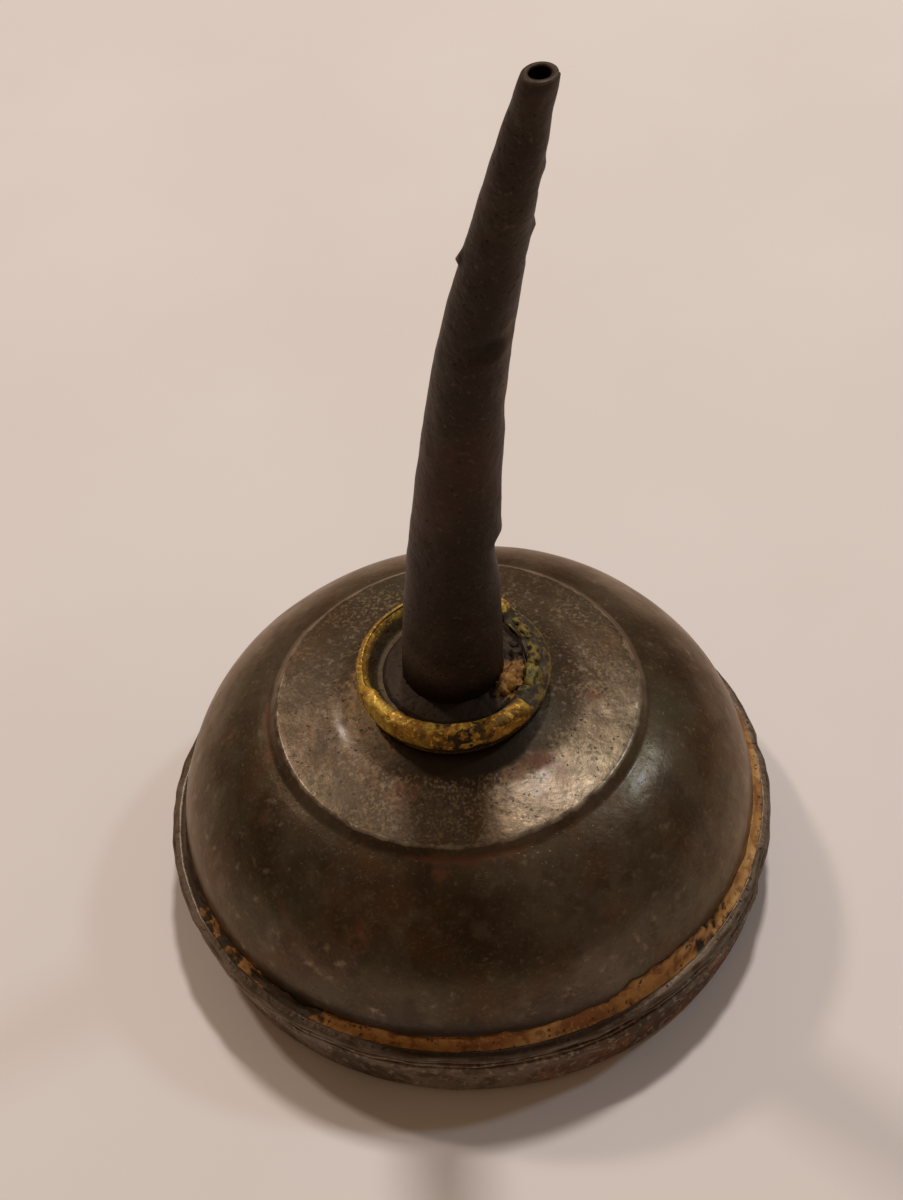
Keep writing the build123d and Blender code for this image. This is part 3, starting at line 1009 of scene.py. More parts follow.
@dataclass
class Dome:
    """The drawn steel dome and the solder bead at its foot."""

    sheet: float = 0.5 * MM
    flange_width: float = 1.4 * MM
    wall_rise: float = 0.5 * MM
    crown_radius: float = 15.0 * MM
    crown_rise: float = 15.7 * MM
    platform_radius: float = 18.7 * MM
    platform_rise: float = 16.5 * MM
    step_width: float = 0.9 * MM
    shoulder_radius: float = 12.6 * MM
    shoulder_rise: float = 17.35 * MM
    seat_radius: float = 9.2 * MM
    hole_radius: float = 8.0 * MM
    gap: float = 0.5 * MM
    steps: int = 320
    hem_radius: float = field(init=False)
    radius: float = field(init=False)
    seat: float = field(init=False)
    flange_top: float = field(init=False)
    seam_top: float = field(init=False)
    lip_radius: float = field(init=False)

    def __post_init__(self) -> None:
        """Takes the places that the frame fixes."""
        _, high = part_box("dome_shell")
        solder_low, solder_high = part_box("seam_solder")
        self.hem_radius = high.x
        self.radius = self.hem_radius - self.flange_width
        self.seat = high.z
        self.flange_top = solder_low.z
        self.lip_radius = solder_high.x
        self.seam_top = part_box("bottom_pan")[1].z

    def curve(self, angle: float) -> tuple[float, float]:
        """Point of the dome's rounded wall: 0 is its foot and 90 degrees would be level."""
        out = self.crown_radius + (self.radius - self.crown_radius) * cos(radians(angle))
        return out, self.seam_top + self.wall_rise + self.crown_rise * sin(radians(angle))

    def outline(self) -> Outline:
        """Outer side of the sheet, from the flange's edge in to the neck hole.

        Returns:
            Points as (radius, height), in metres.
        """
        hem = (self.hem_radius, self.flange_top)
        foot = rounded([hem, (self.radius, self.flange_top), self.curve(0)], [0.8 * MM])
        groove = self.platform_radius + self.step_width
        last = next(a for a in range(90) if self.curve(a)[0] < groove)
        wall = [self.curve(angle) for angle in range(2, last - 4, 2)]
        top = rounded(
            [
                self.curve(last - 4),
                self.curve(last),
                (self.platform_radius, self.seam_top + self.platform_rise),
                (self.shoulder_radius, self.seam_top + self.shoulder_rise),
                (self.seat_radius, self.seat),
                (self.hole_radius, self.seat),
            ],
            [1.3 * MM, 0.8 * MM, 9.0 * MM, 1.0 * MM],
        )
        return spaced(foot + wall + top, self.gap)

    def crust(self, point: Vector) -> float:
        """How crusted the surface is: most on the platform, near the collar.

        Args:
            point: place on the piece.

        Returns:
            The amount, from 0 to 1.
        """
        out = off_axis(point)
        near = ease((self.platform_radius + 0.5 * MM - out) / (8 * MM))
        return 0.7 * near + 0.3 * (out < self.platform_radius)

    def smear(self, point: Vector) -> float:
        """How much of the seam's ochre has crept up the dome's foot."""
        low = ease(1 - (point.z - self.seam_top - 0.4 * MM) / (1.6 * MM))
        return low * (1 - self.bare(point))

    def blush(self, point: Vector) -> float:
        """Golden crust beside the collar, most at its left."""
        near = ease((14.5 * MM - off_axis(point)) / (5 * MM))
        return near * (0.30 + 0.60 * hump(bearing(point), -175, 75))

    def grease(self, point: Vector) -> float:
        """Black grease and painted shade under the collar, most at the front, and painted shade low on
        the dome's front.

        Args:
            point: place on the piece.

        Returns:
            The amount, from 0 to 1.
        """
        near = ease((12.6 * MM - off_axis(point)) / (1.8 * MM))
        # Painted shade: darker low on the dome's front.
        low = ease((self.seam_top + 7 * MM - point.z) / (6 * MM)) * hump(bearing(point), -95, 65)
        return max(near * (0.35 + 0.65 * hump(bearing(point), -88, 60)), 0.72 * low)

    def rust(self, point: Vector) -> float:
        """The few rust spots.

        Args:
            point: place on the piece.

        Returns:
            The amount, from 0 to 1.
        """
        spots = ((178, 24.0, 1.8), (-117, 26.5, 2.0), (-9, 13.6, 1.9), (-100, 20.6, 1.8), (70, 22.0, 1.2))
        amount = 0.0
        for angle, out, reach in spots:
            spot = around(angle, out * MM, point.z)
            amount = max(amount, ease(1.3 - (point - spot).length / (reach * MM)))
        return amount

    def build(self, finishes: Finishes) -> None:
        """Builds and places the dome and its solder bead.

        Args:
            finishes: every finish of the can.
        """
        bm = lathe(self.outline(), self.steps, closed=False)
        face_away(bm, Vector((0.06, 0, 0.06)))
        roughen(bm, 17 * MM, 0.14 * MM, 3.1, 2)
        roughen(bm, 3.5 * MM, 0.02 * MM, 8.4, 2)
        bmesh.ops.solidify(bm, geom=bm.faces[:], thickness=self.sheet)
        dome = as_object(bm, "dome")
        paint(dome, crust=self.crust, smear=self.smear, blush=self.blush)
        paint(dome, grease=self.grease, rust=self.rust)
        put_on(dome, Body.CAN, finishes.dome, "dome_shell")
        self.build_bead(finishes)

    def bare(self, point: Vector) -> float:
        """Where the seam's ochre is gone: round the left and back, with breaks at the front.

        Args:
            point: place on the piece.

        Returns:
            The amount, from 0 to 1.
        """
        angle = bearing(point) + 7 * wander(point / (1.3 * MM), 2)
        kept = ease((angle + 130) / 12) * ease((32 - angle) / 14)
        kept *= (1 - 0.8 * hump(angle, -43, 6)) * (1 - 0.35 * hump(angle, -112, 9))
        crumbs = ((0.75, -143, 6), (0.8, -156, 3), (0.5, 120, 14))
        return 1 - max(kept, *(share * hump(angle, at, width) for share, at, width in crumbs))

    def build_bead(self, finishes: Finishes) -> None:
        """Builds the ragged bead of solder in the corner above the seam.

        Args:
            finishes: every finish of the can.
        """
        bottom, top = self.flange_top - 0.05 * MM, self.seam_top
        inside = self.radius - 0.35 * MM
        section = rounded(
            [
                (inside, bottom),
                (self.lip_radius, bottom),
                (self.lip_radius, top - 0.06 * MM),
                (self.lip_radius + 0.22 * MM, top + 0.03 * MM),
                (self.radius + 0.45 * MM, top + 0.30 * MM),
                (self.radius + 0.10 * MM, top + 1.0 * MM),
                (inside, top + 1.0 * MM),
                (inside, bottom),
            ],
            [0, 0, 0.08 * MM, 0.6 * MM, 0.15 * MM, 0],
            4,
        )
        bm = lathe(spaced(section[:-1], 0.22 * MM), 400)
        for vertex in bm.verts:
            if vertex.co.z > self.flange_top:
                bare = self.bare(vertex.co)
                lump = wander(vertex.co / (2.0 * MM))
                climb = ease((vertex.co.z - top - 0.1 * MM) / (0.8 * MM))
                wide = hump(bearing(vertex.co), -56, 22)
                crest = 0.45 * lump - 0.5 * bare + 1.15 * wide
                vertex.co.z += (0.14 * lump - 0.20 * bare + climb * crest) * MM
        bead = as_object(bm, "seam_bead")
        paint(bead, bare=self.bare)
        put_on(bead, Body.CAN, finishes.seam, "seam_solder")


@dataclass
class BottomPan:
    """The folded seam, the pan under it, and the spring bottom that the thumb presses."""

    sheet: float = 0.5 * MM
    lip_width: float = 1.1 * MM
    wall_inset: float = 0.9 * MM
    wall_taper: float = 0.5 * MM
    foot_width: float = 3.0 * MM
    ledge_width: float = 3.2 * MM
    spring_sheet: float = 0.3 * MM
    steps: int = 288
    rim: float = field(init=False)
    seam_top: float = field(init=False)
    ledge_top: float = field(init=False)
    spring_edge: float = field(init=False)
    disc_top: float = field(init=False)

    def __post_init__(self) -> None:
        """Takes the places that the frame fixes."""
        self.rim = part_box("bottom_pan")[1].x
        self.seam_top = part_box("bottom_pan")[1].z
        spring_low, spring_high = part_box("spring_bottom")
        self.ledge_top = spring_high.z - self.spring_sheet
        self.spring_edge = spring_high.x
        self.disc_top = spring_low.z

    def outline(self) -> Outline:
        """Outer side of the pan's sheet, from its lip over the seam down to the inner ledge.

        Returns:
            Points as (radius, height), in metres.
        """
        rim, top = self.rim, self.seam_top
        wall = rim - self.wall_inset
        foot = wall - self.wall_taper
        riser = foot - self.foot_width
        ledge = self.ledge_top - self.sheet
        folds = [(0, 0), (0, 0.75), (0.70, 1.00), (0.12, 1.20), (0.12, 1.50)]
        folds += [(0.75, 1.72), (0.18, 1.95), (0.22, 2.90), (0.70, 3.15)]
        corners = [
            (rim - self.lip_width, top),
            *((rim - inward * MM, top - down * MM) for inward, down in folds),
            (wall, top - 3.45 * MM),
            (foot, 0),
            (riser, 0),
            (riser - 1.0 * MM, ledge),
            (riser - 1.0 * MM - self.ledge_width, ledge),
        ]
        radii = [0.35, 0.25, 0.12, 0.12, 0.12, 0.12, 0.15, 0.3, 0.2, 0.3, 1.5, 0.8, 0.5]
        return spaced(rounded(corners, [radius * MM for radius in radii], 4), 0.4 * MM)

    def knock(self, bm: bmesh.types.BMesh) -> None:
        """Bends the seam and pan out of true, as years of use have.

        Args:
            bm: mesh to change.
        """
        for vertex in bm.verts:
            angle = bearing(vertex.co)
            out = off_axis(vertex.co)
            share = ease((out - 0.9 * self.rim) / (0.03 * self.rim))
            share *= ease((self.seam_top - vertex.co.z) / (4 * MM))
            vertex.co.x += 0.30 * MM * share
            vertex.co.y -= 0.35 * MM * share
            rimmed = ease((out - 0.96 * self.rim) / (0.02 * self.rim))
            wave = wander(around(angle, 2.2, 0.3))
            vertex.co.z += (0.16 * wave - 0.05) * MM * rimmed * ease(vertex.co.z / (6 * MM))
            fold = wander(Vector((angle / 6, vertex.co.z / (1.1 * MM), 1.7)))
            nicks = 0.35 * hump(angle, 4, 3) + 0.25 * hump(angle, -24, 4)
            vertex.co += outwards(vertex.co) * (0.15 * fold - 0.12 - nicks) * MM * rimmed

    def rusty(self, point: Vector) -> float:
        """Rust lies low on the pan."""
        return 1 - 0.65 * ease((point.z - 2.4 * MM) / (2.5 * MM))

    def oily(self, point: Vector) -> float:
        """The lip keeps the dome's dark film."""
        return 0.95 * ease((point.z - self.seam_top + 0.75 * MM) / (0.4 * MM))

    def build(self, finishes: Finishes) -> None:
        """Builds and places the pan, the spring bottom and the thumb disc.

        Args:
            finishes: every finish of the can.
        """
        bm = lathe(self.outline(), self.steps, closed=False)
        face_away(bm, Vector((0.06, 0, 0.004)))
        bmesh.ops.solidify(bm, geom=bm.faces[:], thickness=self.sheet * 0.8)
        self.knock(bm)
        roughen(bm, 2.4 * MM, 0.05 * MM, 5.5, 2)
        for vertex in bm.verts:
            vertex.co.z = max(vertex.co.z, 0)
        pan = as_object(bm, "pan_and_seam")
        paint(pan, rusty=self.rusty, oily=self.oily)
        put_on(pan, Body.CAN, finishes.pan, "bottom_pan")
        self.build_spring(finishes)
        self.build_discs(finishes)

    def build_spring(self, finishes: Finishes) -> None:
        """Builds the ringed diaphragm between the can and the thumb disc, as one fixed shape on no body.

        Args:
            finishes: every finish of the can.
        """
        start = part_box("stiffener_disc")[1].x + 0.8 * MM
        outside = self.spring_edge - 2.9 * MM
        line = [(self.spring_edge, self.ledge_top), (outside, self.ledge_top)]
        for step in range(1, 40):
            share = step / 40
            drop = (self.ledge_top - self.disc_top) * ease(share)
            ring = 0.10 * MM * sin(share * pi) * sin(share * 5 * tau)
            line.append((outside + (start - outside) * share, self.ledge_top - drop + ring))
        line += [(start, self.disc_top), (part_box("thumb_disc")[1].x * 0.36, self.disc_top)]
        bm = lathe(spaced(line, 0.5 * MM), 192, closed=False)
        face_away(bm, Vector((0.015, 0, -0.05)))
        bmesh.ops.solidify(bm, geom=bm.faces[:], thickness=self.spring_sheet)
        spring = as_object(bm, "ringed_spring_bottom")
        paint(spring, rusty=lambda point: 0.7, oily=lambda point: 0.25)
        spring.data.materials.append(finishes.pan)
        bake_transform(spring)
        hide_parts("spring_bottom")
        log.info("%s: bends between the can and the thumb disc", spring.name)

    def build_discs(self, finishes: Finishes) -> None:
        """Builds the thumb disc with its rivet.

        Args:
            finishes: every finish of the can.
        """
        low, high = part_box("thumb_disc")
        stiffener_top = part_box("stiffener_disc")[1].z
        shank, head = 2.95 * MM, 4.2 * MM
        line = rounded(
            [
                (0, low.z + 0.12 * MM),
                (high.x * 0.55, low.z + 0.10 * MM),
                (high.x * 0.78, low.z),
                (high.x, low.z),
                (high.x, self.disc_top),
                (shank, self.disc_top),
                (shank, stiffener_top),
                (head, stiffener_top),
                (head, high.z),
                (0, high.z),
            ],
            [1.5 * MM, 1.0 * MM, 0.15 * MM, 0.1 * MM, 0, 0, 0.1 * MM, 0.35 * MM],
            4,
        )
        bm = lathe(spaced(line, 0.6 * MM), 144, closed=False)
        roughen(bm, 3 * MM, 0.02 * MM, 2.2, 2)
        disc = as_object(bm, "riveted_thumb_disc")
        paint(disc, rusty=lambda point: 0.6, oily=lambda point: 0.1)
        put_on(disc, Body.BUTTON, finishes.pan, "thumb_disc")


@dataclass
class Neck:
    """The threaded bush in the dome and the leather washer on it."""

    def build(self, finishes: Finishes) -> None:
        """Dresses the bush, and builds the washer with a soft, uneven edge.

        Args:
            finishes: every finish of the can.
        """
        low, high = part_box("leather_washer")
        inner = 6.95 * MM
        line = rounded(
            [(inner, low.z), (high.x, low.z), (high.x, high.z), (inner, high.z), (inner, low.z)],
            [0.2 * MM, 0.2 * MM, 0],
            4,
        )
        bm = lathe(spaced(line[:-1], 0.2 * MM), 192)
        for vertex in bm.verts:
            out = outwards(vertex.co)
            ragged = wander(vertex.co / (1.6 * MM))
            vertex.co += out * (0.12 * ragged - 0.08) * MM * ease((off_axis(vertex.co) - inner) / MM)
        washer = as_object(bm, "oiled_washer")
        put_on(washer, Body.WASHER, finishes.leather, "leather_washer")
        dress_node("neck_bush", finishes.brass)
        dress_node("bush_solder", finishes.lump)
        dress_node("bottom_solder", finishes.lump)
        dress_node("stiffener_disc", finishes.pan)


@dataclass
class Collar:
    """The brass collar: a rolled lip round a recess, a socket for the spout and a threaded stub."""

    lip: float = 1.7 * MM
    stub_bore: float = 3.5 * MM
    thread_root: float = 6.2 * MM
    thread_crest: float = 6.8 * MM
    pitch: float = 1.5 * MM
    crest_width: float = 0.24 * MM
    socket_radius: float = 5.2 * MM
    radius: float = field(init=False)
    bottom: float = field(init=False)
    top: float = field(init=False)
    floor: float = field(init=False)
    stub_bottom: float = field(init=False)
    socket_floor: float = field(init=False)

    def __post_init__(self) -> None:
        """Takes the places that the frame fixes."""
        low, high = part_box("spout_ferrule")
        self.radius, self.top, self.stub_bottom = high.x, high.z, low.z
        self.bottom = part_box("leather_washer")[1].z
        self.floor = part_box("spout_solder")[0].z
        self.socket_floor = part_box("spout_tube")[0].z

    def outline(self) -> Outline:
        """Closed section of the collar.

        Returns:
            Points as (radius, height), in metres.
        """
        inner = self.radius - self.lip
        corners = [
            (self.stub_bore, self.stub_bottom),
            (self.thread_root, self.stub_bottom),
            (self.thread_root, self.bottom),
            (self.radius - 0.5 * MM, self.bottom),
            (self.radius, self.bottom + 0.9 * MM),
            (self.radius - 0.15 * MM, self.top),
            (inner + 0.15 * MM, self.top),
            (inner - 0.25 * MM, self.floor),
            (self.socket_radius, self.floor),
            (self.socket_radius, self.socket_floor),
            (self.stub_bore, self.socket_floor),
            (self.stub_bore, self.stub_bottom),
        ]
        radii = [0.2, 0, 0.3, 0.7, 0.75, 0.55, 0.5, 0, 0, 0]
        return spaced(rounded(corners, [radius * MM for radius in radii], 8)[:-1], 0.3 * MM)

    def inner_edge(self, angle: float) -> float:
        """Radius of the recess: wider at the left and back, where the lip is thin.

        Args:
            angle: angle round the axis, in degrees.

        Returns:
            The radius, in metres.
        """
        behind = (angle - 50) % 360
        thin = ease(behind / 14) * ease((150 - behind) / 8)
        return self.radius - self.lip + (0.62 * thin - 0.25 * hump(angle, -100, 60)) * MM

    def broken(self, angle: float) -> float:
        """Where the lip is worn low and caked: its right side."""
        return ease((angle + 46) / 6) * ease((52 - angle) / 14)

    def knock(self, bm: bmesh.types.BMesh) -> None:
        """Flattens the lip's right side, thins its left and back, and waves the rest of it.

        Args:
            bm: mesh to change.
        """
        for vertex in bm.verts:
            out = off_axis(vertex.co)
            high = ease((vertex.co.z - self.floor - 0.1 * MM) / (self.top - self.floor))
            high *= ease((out - 7 * MM) / MM)
            angle = bearing(vertex.co)
            broken = self.broken(angle)
            wave = wander(around(angle, 2.4, 4.0))
            lump = wander(vertex.co / (1.5 * MM), 2)
            vertex.co.z += (0.10 * wave - broken * (0.85 - 0.35 * lump)) * MM * high
            inner = ease((self.radius - 0.45 * self.lip - out) / (0.4 * self.lip))
            thinned = (self.inner_edge(angle) - self.radius + self.lip) * inner
            aside = (0.08 * wave - 0.95 * broken) * MM + thinned
            vertex.co += outwards(vertex.co) * aside * high

    def add_cakes(self, bm: bmesh.types.BMesh) -> None:
        """Adds the green lumps that stand on the lip's broken side.

        Args:
            bm: mesh to change.
        """
        cakes = [(34, 8.5, 0.42), (24, 8.3, 0.60), (6, 8.2, 0.50)]
        cakes += [(-2, 8.1, 0.62), (-17, 8.1, 0.85), (-25, 8.3, 0.60)]
        for angle, out, size in cakes:
            spot = around(angle, out * MM, self.top - 0.95 * MM)
            along = around(angle + 90)
            made = bmesh.ops.create_icosphere(bm, subdivisions=3, radius=size * MM)
            for vertex in made["verts"]:
                vertex.co += along * vertex.co.dot(along) * 0.8
                vertex.co.z *= 0.75
                lump = wander((vertex.co + spot) / (0.8 * MM))
                vertex.co = spot + vertex.co * (1 + 0.5 * lump)

    def thread(self) -> bmesh.types.BMesh:
        """The stub's single thread, as a ridge wound about the axis.

        Returns:
            The new mesh.
        """
        bm = bmesh.new()
        root, crest = self.thread_root - 0.15 * MM, self.thread_crest
        half = self.crest_width / 2
        foot = half + (crest - root) * 0.6
        start = self.stub_bottom + foot
        corners = [(root, -foot), (crest, -half), (crest, half), (root, foot)]
        ring = [bm.verts.new((radius, 0, start + height)) for radius, height in corners]
        face = bm.faces.new(ring)
        turns = (self.bottom - self.stub_bottom - 2 * foot - 0.4 * MM) / self.pitch
        steps = round(turns * 72)
        rise = (0, 0, turns * self.pitch / steps)
        bmesh.ops.spin(
            bm, geom=[face, *face.edges, *face.verts], cent=(0, 0, 0), axis=(0, 0, 1), dvec=rise,
            angle=turns * tau, steps=steps,
        )
        bmesh.ops.recalc_face_normals(bm, faces=bm.faces)
        return bm

    def verdigris(self, point: Vector) -> float:
        """Green stands at the right of the lip and in the front of the recess.

        Args:
            point: place on the piece.

        Returns:
            The amount, from 0 to 1.
        """
        if point.z < self.bottom - 0.1 * MM:
            return 0.12
        angle = bearing(point)
        inside = ease((self.inner_edge(angle) + 0.3 * MM - off_axis(point)) / (0.8 * MM))
        trough = inside * (0.25 + 0.55 * hump(angle, -70, 60))
        caked = self.broken(angle) * ease((self.radius - 0.5 * MM - off_axis(point)) / (0.6 * MM))
        return min(1.0, max(caked, 0.55 * hump(angle, 60, 18), trough))

    def sooty(self, point: Vector) -> float:
        """The recess floor is black with old oil and painted shade, and the underside and the lowest part
        of the outer wall carry painted shadow.

        Args:
            point: place on the piece.

        Returns:
            The amount, from 0 to 1.
        """
        inside = ease((self.inner_edge(bearing(point)) + 0.15 * MM - off_axis(point)) / (0.35 * MM))
        deep = ease((self.top - 0.15 * MM - point.z) / (0.6 * MM))
        # Painted shadow on the underside and the lowest part of the outer wall.
        under = ease((self.bottom + 0.95 * MM - point.z) / (0.5 * MM))
        under *= point.z > self.bottom - 0.2 * MM
        outside = ease((off_axis(point) - self.radius + 1.9 * MM) / (0.6 * MM))
        outside *= 0.85 * self.broken(bearing(point))
        return max(0.92 * inside * deep * (point.z > self.floor - 0.2 * MM), 0.92 * under, outside)

    def eaten(self, point: Vector) -> float:
        """How deeply the lip is pitted: most at the middle of the front.

        Args:
            point: place on the piece.

        Returns:
            The amount, from 0 to 1.
        """
        angle = bearing(point)
        low = ease((self.bottom + 1.3 * MM - point.z) / (0.8 * MM))
        front = 0.7 * hump(angle, -88, 26) + 0.2 * hump(angle, -60, 20)
        return min(1.0, 0.3 + front + 0.4 * low + self.broken(angle))

    def rubbed(self, point: Vector) -> float:
        """Where hands have kept the lip bright."""
        angle = bearing(point)
        return max(1.0 * hump(angle, -56, 20), 0.35 * hump(angle, -150, 34), 0.25)

    def build(self, finishes: Finishes) -> None:
        """Builds and places the collar and the solder round the spout.

        Args:
            finishes: every finish of the can.
        """
        bm = lathe(self.outline(), 216)
        self.knock(bm)
        roughen(bm, 1.3 * MM, 0.04 * MM, 6.3, 3)
        self.add_cakes(bm)
        ridge = self.thread()
        ridge_mesh = bpy.data.meshes.new("stub_thread")
        ridge.to_mesh(ridge_mesh)
        ridge.free()
        bm.from_mesh(ridge_mesh)
        bpy.data.meshes.remove(ridge_mesh)
        collar = as_object(bm, "brass_collar")
        paint(collar, verdigris=self.verdigris, sooty=self.sooty, eaten=self.eaten, rubbed=self.rubbed)
        put_on(collar, Body.SPOUT, finishes.brass, "spout_ferrule")
        self.build_solder(finishes)

    def build_solder(self, finishes: Finishes) -> None:
        """Builds the crusted solder: a bead round the spout with lumps at the right.

        Args:
            finishes: every finish of the can.
        """
        edge = self.radius - self.lip - 0.8 * MM
        line = rounded(
            [
                (self.socket_radius - 0.3 * MM, self.floor - 0.05 * MM),
                (edge, self.floor - 0.05 * MM),
                (edge - 0.5 * MM, self.floor + 0.35 * MM),
                (self.socket_radius - 0.05 * MM, self.floor + 0.9 * MM),
                (self.socket_radius - 0.3 * MM, self.floor + 0.9 * MM),
                (self.socket_radius - 0.3 * MM, self.floor - 0.05 * MM),
            ],
            [0.1 * MM, 0.5 * MM, 0.1 * MM, 0],
            5,
        )
        bm = lathe(spaced(line[:-1], 0.2 * MM), 216)
        lumps = [(-47, 5.6, 0.75), (-39, 5.8, 0.95), (-30, 6.0, 1.10), (-21, 6.2, 1.10), (-12, 6.4, 0.90)]
        lumps += [(-2, 6.4, 0.75), (8, 6.5, 0.70), (18, 6.6, 0.55), (-27, 6.8, 0.75)]
        for angle, out, size in lumps:
            spot = Matrix.Translation(around(angle, out * MM, self.floor + 0.5 * size * MM))
            bmesh.ops.create_icosphere(bm, subdivisions=4, radius=size * MM, matrix=spot)
        for vertex in bm.verts:
            if vertex.co.z > self.floor + 0.1 * MM:
                lump = noise.fractal(vertex.co / (0.8 * MM), 0.7, 2.0, 4)
                rise = 0.08 + 0.20 * hump(bearing(vertex.co), -20, 45)
                vertex.co += Vector((0.10, 0.10, rise)) * lump * MM
        solder = as_object(bm, "crusted_solder")
        paint(solder, bare=lambda point: 1 - max(hump(bearing(point), -24, 30), 0.12))
        put_on(solder, Body.SPOUT, finishes.lump, "spout_solder")


@dataclass
class Spout:
    """The rolled, tapered and bent spout with its lap seam."""

    base_radius: float = 5.15 * MM
    tip_radius: float = 1.35 * MM
    wall: float = 0.5 * MM
    taper: float = 0.85
    lean: float = 11.2 * MM
    nod: float = 8.1 * MM
    lap: float = 0.34 * MM
    seam_bearing: float = -12.0
    rings: int = 132
    foot: float = field(init=False)
    start: float = field(init=False)
    run: float = field(init=False)
    hollows: list[tuple[Vector, float]] = field(init=False)

    def __post_init__(self) -> None:
        """Takes the places that the frame fixes."""
        low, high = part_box("spout_tube")
        self.foot = low.z
        self.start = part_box("spout_solder")[0].z
        self.run = high.z - 0.4 * MM - self.start
        spots = ((0.627, -100, 0.7), (0.634, -88, 0.9), (0.641, -76, 1.0), (0.648, -64, 1.0))
        self.hollows = [(self.on_skin(share, angle), reach * MM) for share, angle, reach in spots]

    def centre(self, share: float) -> Vector:
        """Centre of the spout at a share of its run.

        Args:
            share: share of the run, from 0 at the solder to 1 at the mouth.

        Returns:
            The place.
        """
        share = max(share, 0)
        sway = 0.4 * MM * exp(-(((share - 0.6) / 0.17) ** 2))
        aside = self.lean * share**1.5 - sway
        return Vector((aside, -self.nod * share**2, self.start + self.run * share))

    def radius_at(self, share: float) -> float:
        """Outside radius there.

        Args:
            share: share of the run, from 0 at the solder to 1 at the mouth.

        Returns:
            The radius, in metres.
        """
        left = min(1.0, max(0.0, 1 - share))
        lip = 0.14 * MM * ease((share - 0.955) / 0.03)
        return self.tip_radius + (self.base_radius - self.tip_radius) * left**self.taper + lip

    def bent(self, point: Vector, inset: float) -> Vector:
        """Moves a point of the straight tube to its place on the bent one.

        Args:
            point: place on the piece.
            inset: how far the point lies inside the skin, in metres.

        Returns:
            The place.
        """
        share = (point.z - self.start) / self.run
        angle = bearing(point)
        lifted = max(share, 0)
        turn = (angle - self.seam_bearing - 14 * noise.noise(Vector((share * 4, 0, 0)))) % 360 / 360
        wrap = turn - 0.5 if turn > 0.012 else 0.5 - turn * 80
        wrap *= self.lap * ease(lifted * 12) * (1 - 0.55 * lifted) * (1 - inset / self.wall)
        inset *= 1 + 0.25 * ease((share - 0.955) / 0.03)
        radius = self.radius_at(share) - inset + wrap
        slope_x = 1.5 * self.lean * lifted**0.5 / self.run
        slope_y = -2 * self.nod * lifted / self.run
        along = Vector((slope_x, slope_y, 1)).normalized()
        across = Vector((1, 0, -slope_x)).normalized()
        aside = along.cross(across)
        arm = across * cos(radians(angle)) + aside * sin(radians(angle))
        arm.z *= 1 - ease((share - 0.92) / 0.07)
        if share < 0:
            return Vector((arm.x * radius, arm.y * radius, point.z))
        return self.centre(share) + arm * radius

    def on_skin(self, share: float, angle: float) -> Vector:
        """Point of the spout's outside."""
        return self.bent(around(angle, 1.0, self.start + self.run * share), 0)

    def build(self, finishes: Finishes) -> None:
        """Builds and places the spout.

        Args:
            finishes: every finish of the can.
        """
        top = self.start + self.run
        turns = [step * pi / 10 for step in range(11)]
        mouth = [(0.5 + 0.5 * cos(turn), top + 0.25 * MM * sin(turn)) for turn in turns]
        outer = [(1.0, self.foot + (top - self.foot) * i / self.rings) for i in range(self.rings)]
        inner = [(0.0, height) for _, height in reversed(outer)]
        bm = lathe([(r + 1, z) for r, z in outer + mouth + inner], 128)
        skin = []
        for vertex in bm.verts:
            part = off_axis(vertex.co) - 1
            skin.append(part)
            vertex.co = self.bent(vertex.co, (1 - part) * self.wall)
        marks = [
            (0.625, -106, 1.7, 0.25),
            (0.634, -88, 1.9, 0.35),
            (0.645, -70, 1.9, 0.40),
            (0.66, -35, 1.6, 0.15),
            (0.40, -70, 4.5, 0.20),
            (0.74, 160, 1.4, 0.20),
            (0.885, 0, 1.4, -0.18),
            (0.860, 0, 1.0, 0.40),
            (0.822, 0, 0.8, 0.20),
            (0.802, -3, 1.2, -0.28),
            (0.762, -5, 1.0, 0.18),
            (0.52, -5, 3.0, 0.15),
        ]
        for share, angle, reach, depth in marks:
            spot = self.on_skin(share, angle)
            inwards = (self.centre(share) - spot).normalized()
            dent(bm, spot, reach * MM, inwards * depth * MM)
        self.notch(bm)
        for vertex, part in zip(bm.verts, skin):
            if part > 0.9 and vertex.co.z > self.start + 1.5 * MM:
                ripple = wander(vertex.co / (3.2 * MM))
                axis = self.centre((vertex.co.z - self.start) / self.run)
                vertex.co += (vertex.co - axis).normalized() * ripple * 0.06 * MM
        bmesh.ops.recalc_face_normals(bm, faces=bm.faces)
        spout = as_object(bm, "rolled_spout")
        paint(spout, sooty=self.sooty, lapped=self.lapped)
        put_on(spout, Body.SPOUT, finishes.spout, "spout_tube")

    def notch(self, bm: bmesh.types.BMesh) -> None:
        """Cuts the lap's loose edge away near the foot, and lifts the burr higher up.

        Args:
            bm: mesh to change.
        """
        for vertex in bm.verts:
            share = (vertex.co.z - self.start) / self.run
            axis = self.centre(share)
            near = hump(bearing(vertex.co - axis), -4, 40)
            cut = ease((0.292 - share) / 0.018) * ease((share - 0.17) / 0.11)
            flare = ease((share - 0.288) / 0.01) * ease((0.36 - share) / 0.07)
            vertex.co += (axis - vertex.co).normalized() * (0.75 * cut - 0.12 * flare) * near * MM
        burr = self.on_skin(0.742, 174)
        dent(bm, burr, 1.0 * MM, Vector((-0.55, 0, 0.1)) * MM)

